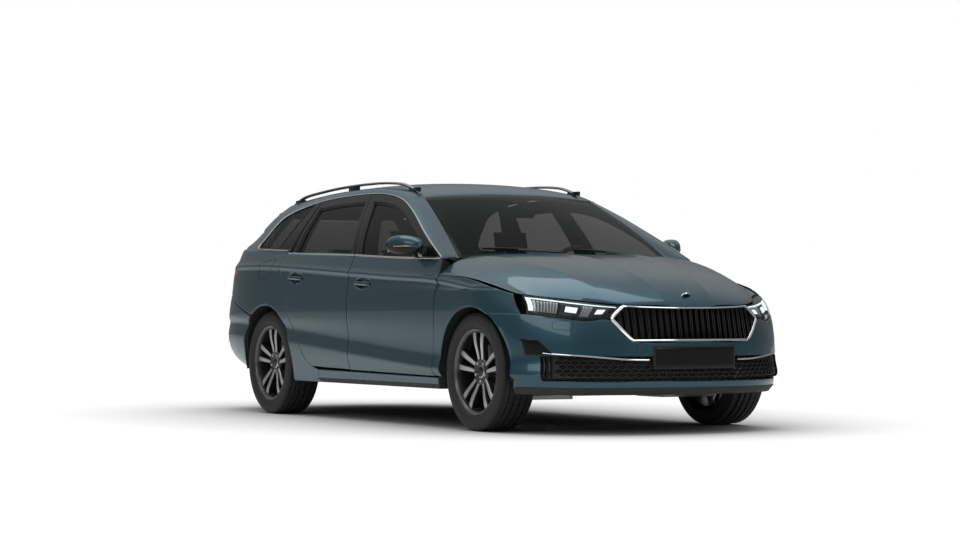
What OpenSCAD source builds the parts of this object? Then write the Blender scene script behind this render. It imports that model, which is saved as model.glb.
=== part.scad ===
// Station wagon: five-door body on a steered front axle and a torsion-beam rear axle.
// Row frame: +X forwards, +Y to the car's left, +Z up, origin on the ground under the middle of the car.

/* [Overall] */
// Length over the bumpers
car_l = 4698; // [4400:1:5000]
// Width over the body sides, without mirrors
car_w = 1829; // [1700:1:1950]
// Height of the roof at its crown
roof_h = 1468; // [1420:1:1560]
// Distance between front and rear axle
wheelbase = 2686; // [2600:1:2760]
// Overhang in front of the front axle
front_overhang = 895; // [850:1:950]
// Width over the door mirrors
mirror_w = 2003; // [1960:1:2100]

/* [Wheels] */
// Outer diameter of a tyre
tyre_d = 660; // [600:1:690]
// Width of a tyre
tyre_w = 225; // [185:1:245]
// Diameter of the rim's outer flange
rim_d = 482; // [440:1:510]
// Distance between the wheel centres of one axle
track = 1543; // [1500:1:1580]
// Number of spoke pairs in a rim
spoke_pairs = 5; // [4:1:7]
// Radius of the hub's bore
hub_bore_r = 20; // [12:1:26]
// Diameter of a brake disc
disc_d = 300; // [250:1:330]
// Largest steering angle of a front wheel
steer_angle = 34; // [20:1:38]

/* [Body panels] */
// Gap between a moving panel and its neighbours
panel_gap = 5; // [5:0.5:8]
// Thickness of a whole side door
door_t = 118; // [80:1:140]
// Thickness of a door's window frame
frame_t = 42; // [30:1:60]
// Width of a door's window frame as seen from the side
frame_w = 46; // [30:1:60]
// Thickness of a sheet panel with its folded edge, such as a wing
sheet_t = 22; // [12:1:30]
// Thickness of the bonnet
bonnet_t = 26; // [16:1:40]
// Thickness of the roof with its lining
roof_t = 30; // [20:1:45]
// Thickness of the tailgate
tailgate_t = 70; // [45:1:90]
// Thickness of a bumper skin
bumper_t = 24; // [14:1:35]
// Thickness of window glass
glass_t = 5; // [4:0.5:8]
// Radius of a front wheel arch
arch_front_r = 366; // [350:1:385]
// Radius of a rear wheel arch
arch_rear_r = 376; // [350:1:390]

/* [Cabin] */
// Width of one front seat
seat_w = 500; // [440:1:540]
// Width of the rear bench
bench_w = 1240; // [1100:1:1320]
// Diameter of the steering wheel
steering_wheel_d = 370; // [340:1:400]

/* [Hidden] */
$fn = 48;

paint = "#2f5668";
trim_black = "#17191b";
chrome = "#d4d7d9";

front_x = car_l / 2;                    // foremost point of the front bumper
rear_x = -car_l / 2;                    // rearmost point of the rear bumper
axle_f = front_x - front_overhang;      // x of the front axle
axle_r = axle_f - wheelbase;            // x of the rear axle
hub_z = tyre_d / 2;                     // height of the wheel centres
half_w = car_w / 2;
half_track = track / 2;

// ---------- interpolation in a table whose first column rises ----------
function row_at(t, x, i = 0) = i >= len(t) - 2 || x <= t[i + 1][0] ? i : row_at(t, x, i + 1);
function slope_at(t, c, i) =
  let (a = max(i - 1, 0), b = min(i + 1, len(t) - 1)) (t[b][c] - t[a][c]) / (t[b][0] - t[a][0]);
function at(t, x, c = 1) =
  let (i = row_at(t, x), h = t[i + 1][0] - t[i][0], s = min(1, max(0, (x - t[i][0]) / h)))
  t[i][c] * (1 + s * s * (2 * s - 3)) + t[i + 1][c] * s * s * (3 - 2 * s)
  + h * s * (1 - s) * (slope_at(t, c, i) * (1 - s) - slope_at(t, c, i + 1) * s);
function mix(a, b, s) = a + (b - a) * s;

// ---------- the lines of the body side ----------
// x, belt line z, shoulder crease z, lower crease z
SIDE_LINES = [
  [-2350, 1075, 958, 500], [-1820, 1064, 959, 500], [-1320, 1046, 957, 480], [-930, 1031, 943, 466],
  [-50, 1001, 899, 404], [466, 978, 874, 367], [1050, 964, 846, 330], [1790, 964, 752, 300]
];
// x, upper edge of the side windows z
WINDOW_TOP = [
  [-1560, 1070], [-1500, 1104], [-1373, 1202], [-1224, 1287], [-965, 1347], [-729, 1373], [-480, 1385],
  [-161, 1387], [67, 1369], [253, 1331], [454, 1255], [706, 1133], [1050, 966]
];
// distance that the side lies inside the widest point: share of the way from sill to shoulder, mm
function side_inset(x, z) =
  let (low = at(SIDE_LINES, x, 3), sh = at(SIDE_LINES, x, 2), belt = at(SIDE_LINES, x, 1))
  at([[200, 60], [245, 42], [300, 32], [low, 9], [low + 90, 17], [620, 4], [705, 3], [785, 10],
      [sh - 28, 20], [sh, 13], [sh + 22, 26], [belt, 58]], z);
// lean of the side windows: height above the belt, distance further in
WINDOW_LEAN = [[-40, 0], [0, 0], [120, 46], [240, 112], [360, 186], [440, 240]];
// extra lean of the rear quarter: height above the belt, distance further in
REAR_LEAN = [[-40, 0], [0, 0], [20, 14], [60, 42], [100, 58], [220, 75], [400, 92]];
REAR_SHARE = [[-2400, 1], [-1750, 1], [-1300, 0], [-1200, 0]];
function flat_side(x, z) =
  let (belt = at(SIDE_LINES, x, 1))
  half_w - side_inset(x, min(z, belt))
  - (z > belt ? at(WINDOW_LEAN, z - belt) + at(REAR_LEAN, z - belt) * at(REAR_SHARE, x) : 0);

// nose and tail seen from the side on the centre line: z, x, and the roundness of the plan there
NOSE = [
  [200, 2290, 2.45], [250, 2338, 2.5], [300, 2349, 2.5], [400, 2343, 2.45], [510, 2340, 2.4],
  [630, 2326, 2.25], [700, 2298, 2.15], [760, 2240, 2.0], [800, 2200, 2.0]
];
TAIL = [
  [200, -2285, 3.2], [290, -2330, 3.3], [420, -2349, 3.4], [560, -2342, 3.4], [660, -2325, 3.3],
  [800, -2300, 3.2], [900, -2284, 3.2], [1000, -2248, 3.0], [1070, -2216, 3.0], [1156, -2172, 2.7],
  [1280, -2108, 2.4], [1400, -2044, 2.3]
];
function nose_x(z) = at(NOSE, z) * front_x / 2349;
function tail_x(z) = at(TAIL, z) * rear_x / -2349;

// half width of the body at x and z
function side_y(x, z) =
  x > axle_f ? let (n = at(NOSE, z, 2), u = (x - axle_f) / (nose_x(z) - axle_f))
    flat_side(axle_f, z) * pow(max(0, 1 - pow(u, n)), 1 / n)
  : x < axle_r ? let (n = at(TAIL, z, 2), u = (x - axle_r) / (tail_x(z) - axle_r))
    flat_side(x, z) * pow(max(0, 1 - pow(u, n)), 1 / n)
  : flat_side(x, z);
// x of the front and of the rear face at half width y and height z
function front_face_x(y, z) =
  let (n = at(NOSE, z, 2)) axle_f + (nose_x(z) - axle_f) * pow(max(0, 1 - pow(abs(y) / flat_side(axle_f, z), n)), 1 / n);
function rear_face_x(y, z) =
  let (n = at(TAIL, z, 2)) axle_r + (tail_x(z) - axle_r) * pow(max(0, 1 - pow(abs(y) / flat_side(-1600, z), n)), 1 / n);

// ---------- roof, bonnet ----------
// x, roof centre z, roof edge half width, roof edge z
ROOF = [
  [-2060, 1376, 452, 1338], [-1830, 1404, 500, 1350], [-1600, 1422, 535, 1368], [-1200, 1445, 566, 1398],
  [-800, 1461, 578, 1420],
  [-330, 1468, 582, 1428], [0, 1453, 584, 1412], [200, 1426, 586, 1384], [345, 1386, 588, 1344],
  [400, 1366, 589, 1328]
];
// how far the roof's rear corners lie in front of its middle
function roof_sweep(x) = 150 * min(1, max(0, (-1600 - x) / 460));
function roof_z(x, y) =
  let (c = at(ROOF, x) * roof_h / 1468, e = at(ROOF, x, 3) * roof_h / 1468, w = at(ROOF, x, 2))
  c - (c - e) * pow(abs(y) / w, 2.2);
// share of the bonnet's length from rear to front, centre z, seam x, seam half width, seam z
BONNET = [
  [0, 997, 1066, 889, 872], [0.18, 992, 1196, 882, 868], [0.37, 974, 1334, 871, 858],
  [0.55, 940, 1465, 856, 840], [0.7, 893, 1573, 840, 818], [0.82, 842, 1660, 825, 797],
  [0.92, 776, 1732, 811, 779], [0.97, 730, 1768, 803, 770], [1, 690, 1790, 799, 765]
];
// half width, z of the bonnet's front edge
BONNET_EDGE = [[0, 690], [110, 690], [190, 700], [402, 703], [600, 728], [800, 765]];
// share of the length, how flat the bonnet's middle is
BONNET_FLAT = [[0, 7], [0.2, 5], [0.45, 3.4], [0.75, 2.6], [1, 2.4]];
function bonnet_x_rear(v) = 1066 + 20 * (1 - v * v);
function bonnet_pt(u, v) =
  let (
    a = abs(v), side_x = at(BONNET, u, 2), half = at(BONNET, u, 3),
    edge_y = 799 * a, edge_z = at(BONNET_EDGE, edge_y),
    x = mix(bonnet_x_rear(v), front_face_x(edge_y, edge_z), u),
    xs = mix(x, side_x, pow(a, 6)),
    bend = mix(pow(a, at(BONNET_FLAT, u)), (edge_z - 690) / 75, pow(u, 4)),
    z = at(BONNET, u) + (at(BONNET, u, 4) - at(BONNET, u)) * bend
  )
  [xs, v * half, z];

// ---------- closed shells from two grids of points ----------
// outer and inner are [i][j] grids seen from outside with i to the right and j up; keep(i, j) says
// which cells are there.
module grid_shell(outer, inner, keep = function(i, j) true, flip = false) {
  nu = len(outer);
  nv = len(outer[0]);
  pts = concat([for (r = outer) each r], [for (r = inner) each r]);
  base = nu * nv;
  o = function(i, j) i * nv + j;
  n = function(i, j) base + i * nv + j;
  is = function(i, j) i >= 0 && j >= 0 && i < nu - 1 && j < nv - 1 && keep(i, j);
  quad = function(a, b, c, d) flip ? [[a, b, c], [a, c, d]] : [[c, b, a], [d, c, a]];
  faces = [
    for (i = [0 : nu - 2], j = [0 : nv - 2]) if (is(i, j)) each concat(
      quad(o(i, j), o(i + 1, j), o(i + 1, j + 1), o(i, j + 1)),
      quad(n(i, j), n(i, j + 1), n(i + 1, j + 1), n(i + 1, j)),
      is(i - 1, j) ? [] : quad(o(i, j), o(i, j + 1), n(i, j + 1), n(i, j)),
      is(i + 1, j) ? [] : quad(o(i + 1, j + 1), o(i + 1, j), n(i + 1, j), n(i + 1, j + 1)),
      is(i, j - 1) ? [] : quad(o(i + 1, j), o(i, j), n(i, j), n(i + 1, j)),
      is(i, j + 1) ? [] : quad(o(i, j + 1), o(i + 1, j + 1), n(i + 1, j + 1), n(i, j + 1))
    )
  ];
  polyhedron(points = pts, faces = faces, convexity = 6);
}

// A shell on the body side at side = -1 (right) or 1 (left). xz is an [i][j] grid of [x, z], inner_xz the
// same for the inner skin, and depth(j) how far in that skin lies.
module side_shell(side, xz, inner_xz, depth, keep = function(i, j) true) {
  outer = [for (r = xz) [for (p = r) [p[0], side * side_y(p[0], p[1]), p[1]]]];
  inner = [for (i = [0 : len(xz) - 1]) [for (j = [0 : len(xz[0]) - 1])
    let (q = inner_xz[i][j]) [q[0], side * (side_y(q[0], q[1]) - depth(j)), q[1]]]];
  grid_shell(outer, inner, keep, side > 0);
}

// ---------- side doors ----------
door_front_x = 1062;    // front edge of the front door, outermost
b_line_x = -50;         // middle of the gap between the doors
// front door edges: z at the front, x at the front, z at the rear; the last two rows are the window frame
FRONT_DOOR = [
  [296, 1010, 309], [330, 1018, 400], [420, 1026, 494], [560, 1040, 600], [700, 1050, 720],
  [790, 1056, 810], [818, 1058, 871], [846, 1060, 899], [962, 1060, 1001]
];
// rear door edges: z at the front, then x and z at the rear; the last row is the belt
REAR_DOOR = [
  [311, -585, 321], [352, -661, 364], [404, -729, 456], [494, -831, 571], [600, -911, 678],
  [720, -980, 795], [871, -1036, 919], [899, -1044, 949], [1001, -1000, 1028]
];
door_inset = 26;        // how far the inner skin stays inside the outer one's outline
function shrink(grid, cx, cz, hx, hz, by) =
  [for (r = grid) [for (p = r) [cx + (p[0] - cx) * (1 - by / hx), cz + (p[1] - cz) * (1 - by / hz)]]];
function window_top(x) = at(WINDOW_TOP, x);
function door_depth(j) = j < 8 ? door_t : j == 8 ? frame_t + 20 : frame_t;

// columns across the front door from rear to front, as share of its length
FRONT_COLS = [0, 0.05, 0.16, 0.3, 0.44, 0.58, 0.7, 0.82, 0.92, 1];
front_door_end = b_line_x + panel_gap / 2;
// how far the line between the doors leans back above the belt: sill and head of the glass, top of the frame
B_LEAN = [6, 134, 146];
function front_door_grid() = [
  for (u = FRONT_COLS) concat(
    [for (r = FRONT_DOOR) let (x = mix(front_door_end, r[1], u)) [x, mix(r[2], r[0], u)]],
    let (x = mix(front_door_end - B_LEAN[2], 1035, u), top = window_top(x) - panel_gap, belt = mix(1001, 962, u),
         xs = mix(front_door_end - B_LEAN[0], 1045, u), xh = mix(front_door_end - B_LEAN[1], 1039, u),
         head = max(mix(belt, window_top(xh) - panel_gap, 0.5), window_top(xh) - panel_gap - frame_w))
    [[xs, mix(belt, head, 0.08)], [xh, head], [x, top]])
];
// columns across the rear door from rear to front
REAR_COLS = [0, 0.06, 0.2, 0.36, 0.52, 0.68, 0.82, 0.94, 1];
rear_door_start = b_line_x - panel_gap / 2;
function rear_door_grid() = [
  for (u = REAR_COLS) concat(
    [for (r = REAR_DOOR) let (x = mix(r[1], rear_door_start, u)) [x, mix(r[2], r[0], u)]],
    let (belt = mix(1028, 1001, u),
         x = mix(-838, rear_door_start - B_LEAN[2], u), xh = mix(-851, rear_door_start - B_LEAN[1], u),
         xs = mix(-926, rear_door_start - B_LEAN[0], u), head = window_top(xh) - panel_gap - frame_w)
    [[xs, belt + 14], [xh, head], [x, window_top(x) - panel_gap]])
];

function door_keep(cols, from, to) =
  function(i, j) !(i >= from && i < to && j >= 8 && j < 10);
module front_door(side) {
  color(paint) {
    g = front_door_grid();
    side_shell(side, g, shrink(g, 500, 700, 560, 400, door_inset), function(j) door_depth(j),
      door_keep(FRONT_COLS, 1, 7));
  }
}
module rear_door(side) {
  color(paint) {
    g = rear_door_grid();
    side_shell(side, g, shrink(g, -500, 700, 500, 400, door_inset), function(j) door_depth(j),
      door_keep(REAR_COLS, 1, 7));
  }
}

// window glass in a door: the opening's cells, set into the depth of the frame
glass_set = 14;    // from the outer skin to the glass
glass_fit = 0.7;   // play of the glass in its frame
rear_glass_fit = 1.2;
rear_glass_cut = 40;
// cut: how far the glass stays out of a sharp lower rear corner
module door_glass(side, grid, cx, hx, from, to, fit = glass_fit, cut = 0) {
  color("#23282b") {
    g = [for (i = [from : to]) [for (j = [8 : 10]) grid[i][j]]];
    inner = shrink(g, cx, 700, hx, 400, door_inset);
    trim = fit + 1;
    low = cut > 0 ? 3 : 0;
    layer = function(d) let (n = len(g) - 1) [for (i = [0 : n]) [for (j = [0 : 2])
      mix(g[i][j], inner[i][j], d / door_depth(j + 8))
      + [i == 0 ? trim + (j == 0 ? cut : j == 1 ? cut * 0.15 : 0) : i == n ? -trim - (j == 0 ? low : 0) : 0,
         j == 0 ? trim + low : j == 2 ? -trim : 0]]];
    a = layer(glass_set);
    b = layer(glass_set + glass_t);
    outer = [for (i = [0 : len(g) - 1]) [for (j = [0 : 2])
      [a[i][j][0], side * (side_y(a[i][j][0], a[i][j][1]) - glass_set), a[i][j][1]]]];
    inn = [for (i = [0 : len(g) - 1]) [for (j = [0 : 2])
      [b[i][j][0], side * (side_y(b[i][j][0], b[i][j][1]) - glass_set - glass_t), b[i][j][1]]]];
    grid_shell(outer, inn, function(i, j) true, side > 0);
  }
}

// ---------- door mirror ----------
mirror_x = 650;
mirror_z = 1047;
module door_mirror(side) {
  color(paint) {
    mirror([0, side < 0 ? 1 : 0, 0])
      hull() {
        translate([mirror_x, mirror_w / 2 - 24, mirror_z]) sphere(r = 24, $fn = 24);
        translate([mirror_x + 10, mirror_w / 2 - 50, mirror_z + 8]) sphere(r = 46, $fn = 24);
        translate([mirror_x + 45, mirror_w / 2 - 106, mirror_z - 2]) sphere(r = 58, $fn = 24);
      }
    foot = [for (x = [690, 720, 752]) [for (z = [968, 985, 1000]) [x, z]]];
    grid_shell([for (r = foot) [for (p = r) [p[0], side * (side_y(p[0], p[1]) + 60 - (1000 - p[1])), p[1]]]],
      [for (r = foot) [for (p = r) [p[0], side * (side_y(p[0], p[1]) + 0.5), p[1]]]], function(i, j) true, side > 0);
  }
}

// ---------- front wing ----------
// arch angle, outer x, outer z
WING = [
  [186, 1068, 300], [172, 1068, 420], [156, 1068, 600], [140, 1068, 865], [125, 1240, 857], [110, 1400, 840],
  [96, 1540, 815], [84, 1660, 786], [73, 1785, 756], [61, 1868, 651.2]
];
module front_wing(side) {
  color(paint) {
    g = [for (w = WING) let (p = [axle_f + arch_front_r * cos(w[0]), hub_z + arch_front_r * sin(w[0])])
      [for (s = [0, 0.18, 0.45, 0.72, 1]) mix(p, [w[1], w[2]], s)]];
    side_shell(side, g, g, function(j) j == 4 ? 6 : sheet_t, function(i, j) true);
  }
}

// ---------- bumpers ----------
// half width, upper edge z of the front bumper
FRONT_TOP = [[0, 500], [385, 505], [440, 562], [484, 618], [600, 612], [700, 629], [811, 648.5], [930, 649.7]];
// plan angle of the front at half width y, and where the bumper ends at the arch
function front_angle(y, z) = asin(pow(y / flat_side(axle_f, z), at(NOSE, z, 2) / 2));
function front_end(z) =
  acos(pow(sqrt(pow(arch_front_r, 2) - pow(z - hub_z, 2)) / (nose_x(z) - axle_f), at(NOSE, z, 2) / 2));
function front_pt(t, z, off) =
  let (n = 2 / at(NOSE, z, 2), a = abs(t))
  [axle_f + (nose_x(z) - axle_f - off) * pow(cos(a), n), sign(t) * (flat_side(axle_f, z) - off) * pow(sin(a), n), z];
// columns of the front: half widths up to 600, then shares of the way on to the arch
FRONT_Y = [0, 150, 290, 385, 440, 484, 540, 600];
FRONT_S = [0.2, 0.4, 0.58, 0.8, 1];
function front_t(k, z) =
  let (a = abs(k), y0 = front_angle(600, z))
  sign(k) * (a < 8 ? front_angle(FRONT_Y[a], z) : mix(y0, front_end(z), FRONT_S[a - 8]));
module front_bumper() {
  color(paint) {
    ks = [for (k = [-12 : 12]) k];
    z_rows = [215, 250, 290, 425, 440];
    top = function(k) abs(k) < 8 ? at(FRONT_TOP, FRONT_Y[abs(k)]) : at(FRONT_TOP, abs(front_pt(front_t(k, 640), 640, 0)[1]));
    pt = function(k, z, off) front_pt(front_t(k, z), z, off);
    grid = function(off) [for (k = ks) [
      for (z = z_rows) pt(k, z, off), pt(k, mix(440, top(k), 0.5), off), pt(k, top(k), off)]];
    grid_shell(grid(0), grid(bumper_t), function(i, j) !(j == 2 && i >= 2 && i < 22));
  }
}
// x, upper edge z of the rear bumper
REAR_TOP = [[-2400, 655], [-2262, 655], [-2170, 760], [-1950, 760], [-1800, 723], [-1600, 669], [-1448, 630], [-1380, 612]];
// height, distance that the bumper's lower edge is tucked in
REAR_TUCK = [[200, 170], [276, 105], [326, 55], [390, 18], [460, 2], [520, 0], [2000, 0]];
function rear_reach(z, off) = tail_x(z) - axle_r + off + at(REAR_TUCK, z);
function rear_pt(t, z, off) =
  let (n = 2 / at(TAIL, z, 2), a = abs(t), x = axle_r + rear_reach(z, off) * pow(cos(a), n))
  [x, sign(t) * (flat_side(x, z) - off - at(REAR_TUCK, z)) * pow(sin(a), n), z];
function rear_angle(x, z) = acos(pow((x - axle_r) / rear_reach(z, 0), at(TAIL, z, 2) / 2));
function rear_end(z) = rear_angle(axle_r - sqrt(max(9, pow(arch_rear_r, 2) - pow(z - hub_z, 2))), z);
module rear_bumper() {
  color(paint) {
    ks = [-1, -0.95, -0.88, -0.8, -0.7, -0.6, -0.52, -0.42, -0.3, -0.15, 0, 0.15, 0.3, 0.42, 0.52, 0.6, 0.7, 0.8, 0.88, 0.95, 1];
    z_rows = [268, 310, 370, 440, 540];
    pt = function(k, z, off) rear_pt(k * rear_end(min(z, 632)), z, off);
    top = function(k) at(REAR_TOP, pt(k, 632, 0)[0]);
    grid = function(off) [for (k = ks) [
      for (z = z_rows) pt(k, z, off), pt(k, mix(540, top(k), 0.5), off), pt(k, top(k), off)]];
    grid_shell(grid(0), grid(bumper_t), function(i, j) true, true);
  }
}

// ---------- bonnet ----------
module bonnet() {
  color(paint) {
    us = [0, 0.12, 0.25, 0.38, 0.5, 0.62, 0.72, 0.81, 0.88, 0.94, 1];
    vs = [-1, -0.94, -0.85, -0.72, -0.55, -0.36, -0.18, 0, 0.18, 0.36, 0.55, 0.72, 0.85, 0.94, 1];
    outer = [for (v = vs) [for (u = us) bonnet_pt(u, v)]];
    inner = [for (v = vs) [for (u = us) let (p = bonnet_pt(u, v))
      [p[0] - 20 * pow(u, 4), p[1] - 25 * v * pow(v, 6), p[2] - bonnet_t * (1 - 0.7 * max(pow(u, 6), pow(v, 8)))]]];
    grid_shell(outer, inner, function(i, j) true, true);
  }
}

// ---------- roof ----------
module roof_panel() {
  color(paint) {
    xs = roof_xs;
    vs = [-1, -0.8, -0.55, -0.28, 0, 0.28, 0.55, 0.8, 1];
    pt = function(x, v, d) let (w = at(ROOF, x, 2), e = x > 300 ? 55 * (1 - v * v) : roof_sweep(x) * v * v)
      [x + e, v * w, roof_z(x > 300 ? x + e : x, v * w) - d];
    outer = [for (x = xs) [for (v = vs) pt(x, v, 0)]];
    inner = [for (x = xs) [for (v = vs) pt(x, v, roof_t)]];
    grid_shell(outer, inner, function(i, j) true);
  }
}

// ---------- windscreen ----------
module windscreen() {
  color("#23282b") {
    vs = [-1, -0.7, -0.35, 0, 0.35, 0.7, 1];
    us = [0, 0.33, 0.66, 1];
    pt = function(u, v, d) let (b = 1 - v * v,
      low = [1006 + 66 * b, v * 722, 972 + 8 * b], high = [352 + 58 * b, v * 586, 1338 + 26 * b])
      mix(low, high, u) + [16 * u * (1 - u) * 2, 0, 36 * u * (1 - u) * 2] - [d * 0.5, 0, d * 0.87];
    grid_shell([for (v = vs) [for (u = us) pt(u, v, 0)]], [for (v = vs) [for (u = us) pt(u, v, glass_t)]],
      function(i, j) true, false);
  }
}

// ---------- wheels ----------
rim_w = 203;
module rim() {
  r = rim_d / 2;
  color("#55585b")
  rotate([90, 0, 0]) {
    // barrel with its two flanges
    rotate_extrude($fn = 96) polygon([
      [r - 12, -rim_w / 2], [r, -rim_w / 2], [r, -rim_w / 2 + 8], [r - 10, -rim_w / 2 + 14],
      [r - 14, -60], [r - 34, -40], [r - 34, 30], [r - 14, rim_w / 2 - 26],
      [r - 10, rim_w / 2 - 10], [r, rim_w / 2 - 8], [r, rim_w / 2], [r - 14, rim_w / 2],
      [r - 20, rim_w / 2 - 24], [r - 42, 28], [r - 42, -44], [r - 22, -66]]);
    difference() {
      union() {
        translate([0, 0, 30]) cylinder(r = 74, h = 38);
        for (k = [0 : spoke_pairs - 1], s = [-1, 1])
          rotate([0, 0, k * 360 / spoke_pairs + 90])
            translate([0, 0, 44])
              linear_extrude(height = 28)
                polygon([[30, s * 4], [40, s * 34], [r - 30, s * 74], [r - 30, s * 44]]);
      }
      translate([0, 0, 20]) cylinder(r = 28, h = 30);
    }
  }
  hub_disc();
}
module tyre() {
  r = rim_d / 2;
  t = tyre_d / 2;
  w = tyre_w / 2;
  color(trim_black)
  rotate([90, 0, 0])
    rotate_extrude($fn = 120) polygon([
      [r + 0.3, -w + 20], [r + 22, -w + 6], [r + 46, -w], [t - 28, -w + 4], [t - 10, -w + 14], [t, -w + 34],
      [t, w - 34], [t - 10, w - 14], [t - 28, w - 4], [r + 46, w], [r + 22, w - 6], [r + 0.3, w - 20],
      [r + 0.3, rim_w / 2 - 20], [r + 12, 40], [r + 12, -40]]);
}
module hub_disc() {
  color("#8d9093")
  rotate([90, 0, 0])
    difference() {
      union() {
        translate([0, 0, -14]) cylinder(r = disc_d / 2, h = 22);
        translate([0, 0, -20]) cylinder(r = 72, h = 53);
      }
      translate([0, 0, -30]) cylinder(r = hub_bore_r, h = 70);
    }
}
module wheel_at(x, side) {
  translate([x, side * half_track, hub_z]) mirror([0, side > 0 ? 1 : 0, 0]) children();
}

// ---------- running gear ----------
kingpin_y = half_track - 76.5;   // where the steering axis passes the hub's height
kingpin_lean = 15.5;             // its lean towards the middle of the car
module front_knuckle(side) {
  color("#303336")
  translate([axle_f, 0, 0]) mirror([0, side < 0 ? 1 : 0, 0]) {
    // stub axle in the hub's bore
    translate([0, half_track + 20, hub_z]) rotate([90, 0, 0]) cylinder(r = hub_bore_r - 0.1, h = 80);
    translate([0, half_track - 20.3, hub_z]) rotate([90, 0, 0]) cylinder(r = 54, h = 62);
    translate([0, kingpin_y, hub_z]) rotate([kingpin_lean, 0, 0]) {
      translate([-28, -34, -128]) cube([56, 60, 258]);
      // strut, standing on the knuckle
      translate([0, 0, 120]) cylinder(r = 26, h = 340);
      translate([0, 0, 300]) cylinder(r = 50, h = 12);
    }
  }
}
module front_subframe() {
  color("#303336") {
    translate([axle_f - 200, -330, 190]) cube([340, 660, 60]);
    for (side = [-1, 1])
      hull() {
        translate([axle_f, side * (kingpin_y + 28), 170]) cylinder(r = 26, h = 22, $fn = 32);
        translate([axle_f - 150, side * 320, 172]) cylinder(r = 20, h = 24, $fn = 32);
        translate([axle_f + 100, side * 320, 172]) cylinder(r = 20, h = 24, $fn = 32);
      }
  }
}
module rear_axle() {
  color("#303336") {
    for (side = [-1, 1]) mirror([0, side < 0 ? 1 : 0, 0]) {
      translate([axle_r, half_track + 20, hub_z]) rotate([90, 0, 0]) cylinder(r = hub_bore_r - 0.1, h = 90);
      translate([axle_r, half_track - 20.3, hub_z]) rotate([90, 0, 0]) cylinder(r = 50, h = 150);
      translate([axle_r - 45, 590, hub_z - 60]) cube([480, 50, 80]);
    }
    translate([axle_r + 100, -600, 236]) cube([80, 1200, 60]);
  }
}

// ---------- side frame ----------
// x at the belt, x just above it, x and z at the upper window line (0: on that line), x at the roof's edge
UPPER = [
  [1056, 1056, 1050, 0, 1012], [880, 880, 880, 0, 850], [706, 706, 706, 0, 690], [560, 560, 560, 0, 560],
  [454, 454, 454, 0, 468], [350, 350, 350, 0, 392], [253, 253, 253, 0, 335], [170, 170, 170, 0, 260],
  [67, 67, 67, 0, 150], [-60, -60, -60, 0, 0], [-200, -200, -200, 0, -200], [-500, -500, -500, 0, -500],
  [-729, -729, -700, 0, -800],
  [-1007, -938, -842, 0, -900], [-1150, -1145, -915, 0, -1000], [-1250, -1250, -1090, 0, -1100],
  [-1350, -1350, -1270, 0, -1350], [-1453, -1458, -1480, 1110, -1500], [-1620, -1620, -1640, 1170, -1600],
  [-1800, -1800, -1800, 1195, -1755]
];
// z, half width of the tailgate
TAILGATE_EDGE = [[660, 552], [800, 556], [958, 570], [985, 664], [1060, 655], [1200, 580], [1330, 455]];
function glass_edge(x) = let (u = (1006 - x) / 654) [x, mix(722, 586, u), mix(972, 1338, u) + 72 * u * (1 - u)];
function roof_edge(x) =
  let (xp = x < -1600 ? -1600 + (x + 1600) * 460 / 310 : x)
  x > 335 ? glass_edge(x) + [0, 0.6, 0] : [x, at(ROOF, xp, 2) + 5, at(ROOF, xp, 3) * roof_h / 1468];
function d_edge(z) =
  let (p = [rear_face_x(at(TAILGATE_EDGE, z), z), at(TAILGATE_EDGE, z), z]) p + [6, 7, 0] * (panel_gap / 5);
function upper_column(r) =
  let (
    bz = at(SIDE_LINES, r[0], 1) + 6, sz = bz + (r[1] == -938 ? 22 : 14), wz = r[3] > 0 ? r[3] : window_top(r[2]),
    b = [r[0], side_y(r[0], bz) - 1, bz], s = [r[1], side_y(r[1], sz) - 1, sz],
    w = [r[2], side_y(r[2], wz), wz], e = roof_edge(r[4])
  )
  [b, s, w, (w + e) / 2 + [0, 7, 7], e];
// angle round the rear arch, outer x, outer z, below and behind the door
QUARTER_LOW = [[-16.5, -500, 224], [-9, -500, 302]];
QUARTER_HIGH = [
  [92, -1150, 1051], [98, -1330, 1058], [104, -1540, 1067], [110, -1740, 1075], [115, -1890, 1078],
  [117.5, -2016, 1076], [119.5, -2003, 968], [121, -1935, 962], [125, -1945, 775]
];
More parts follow.
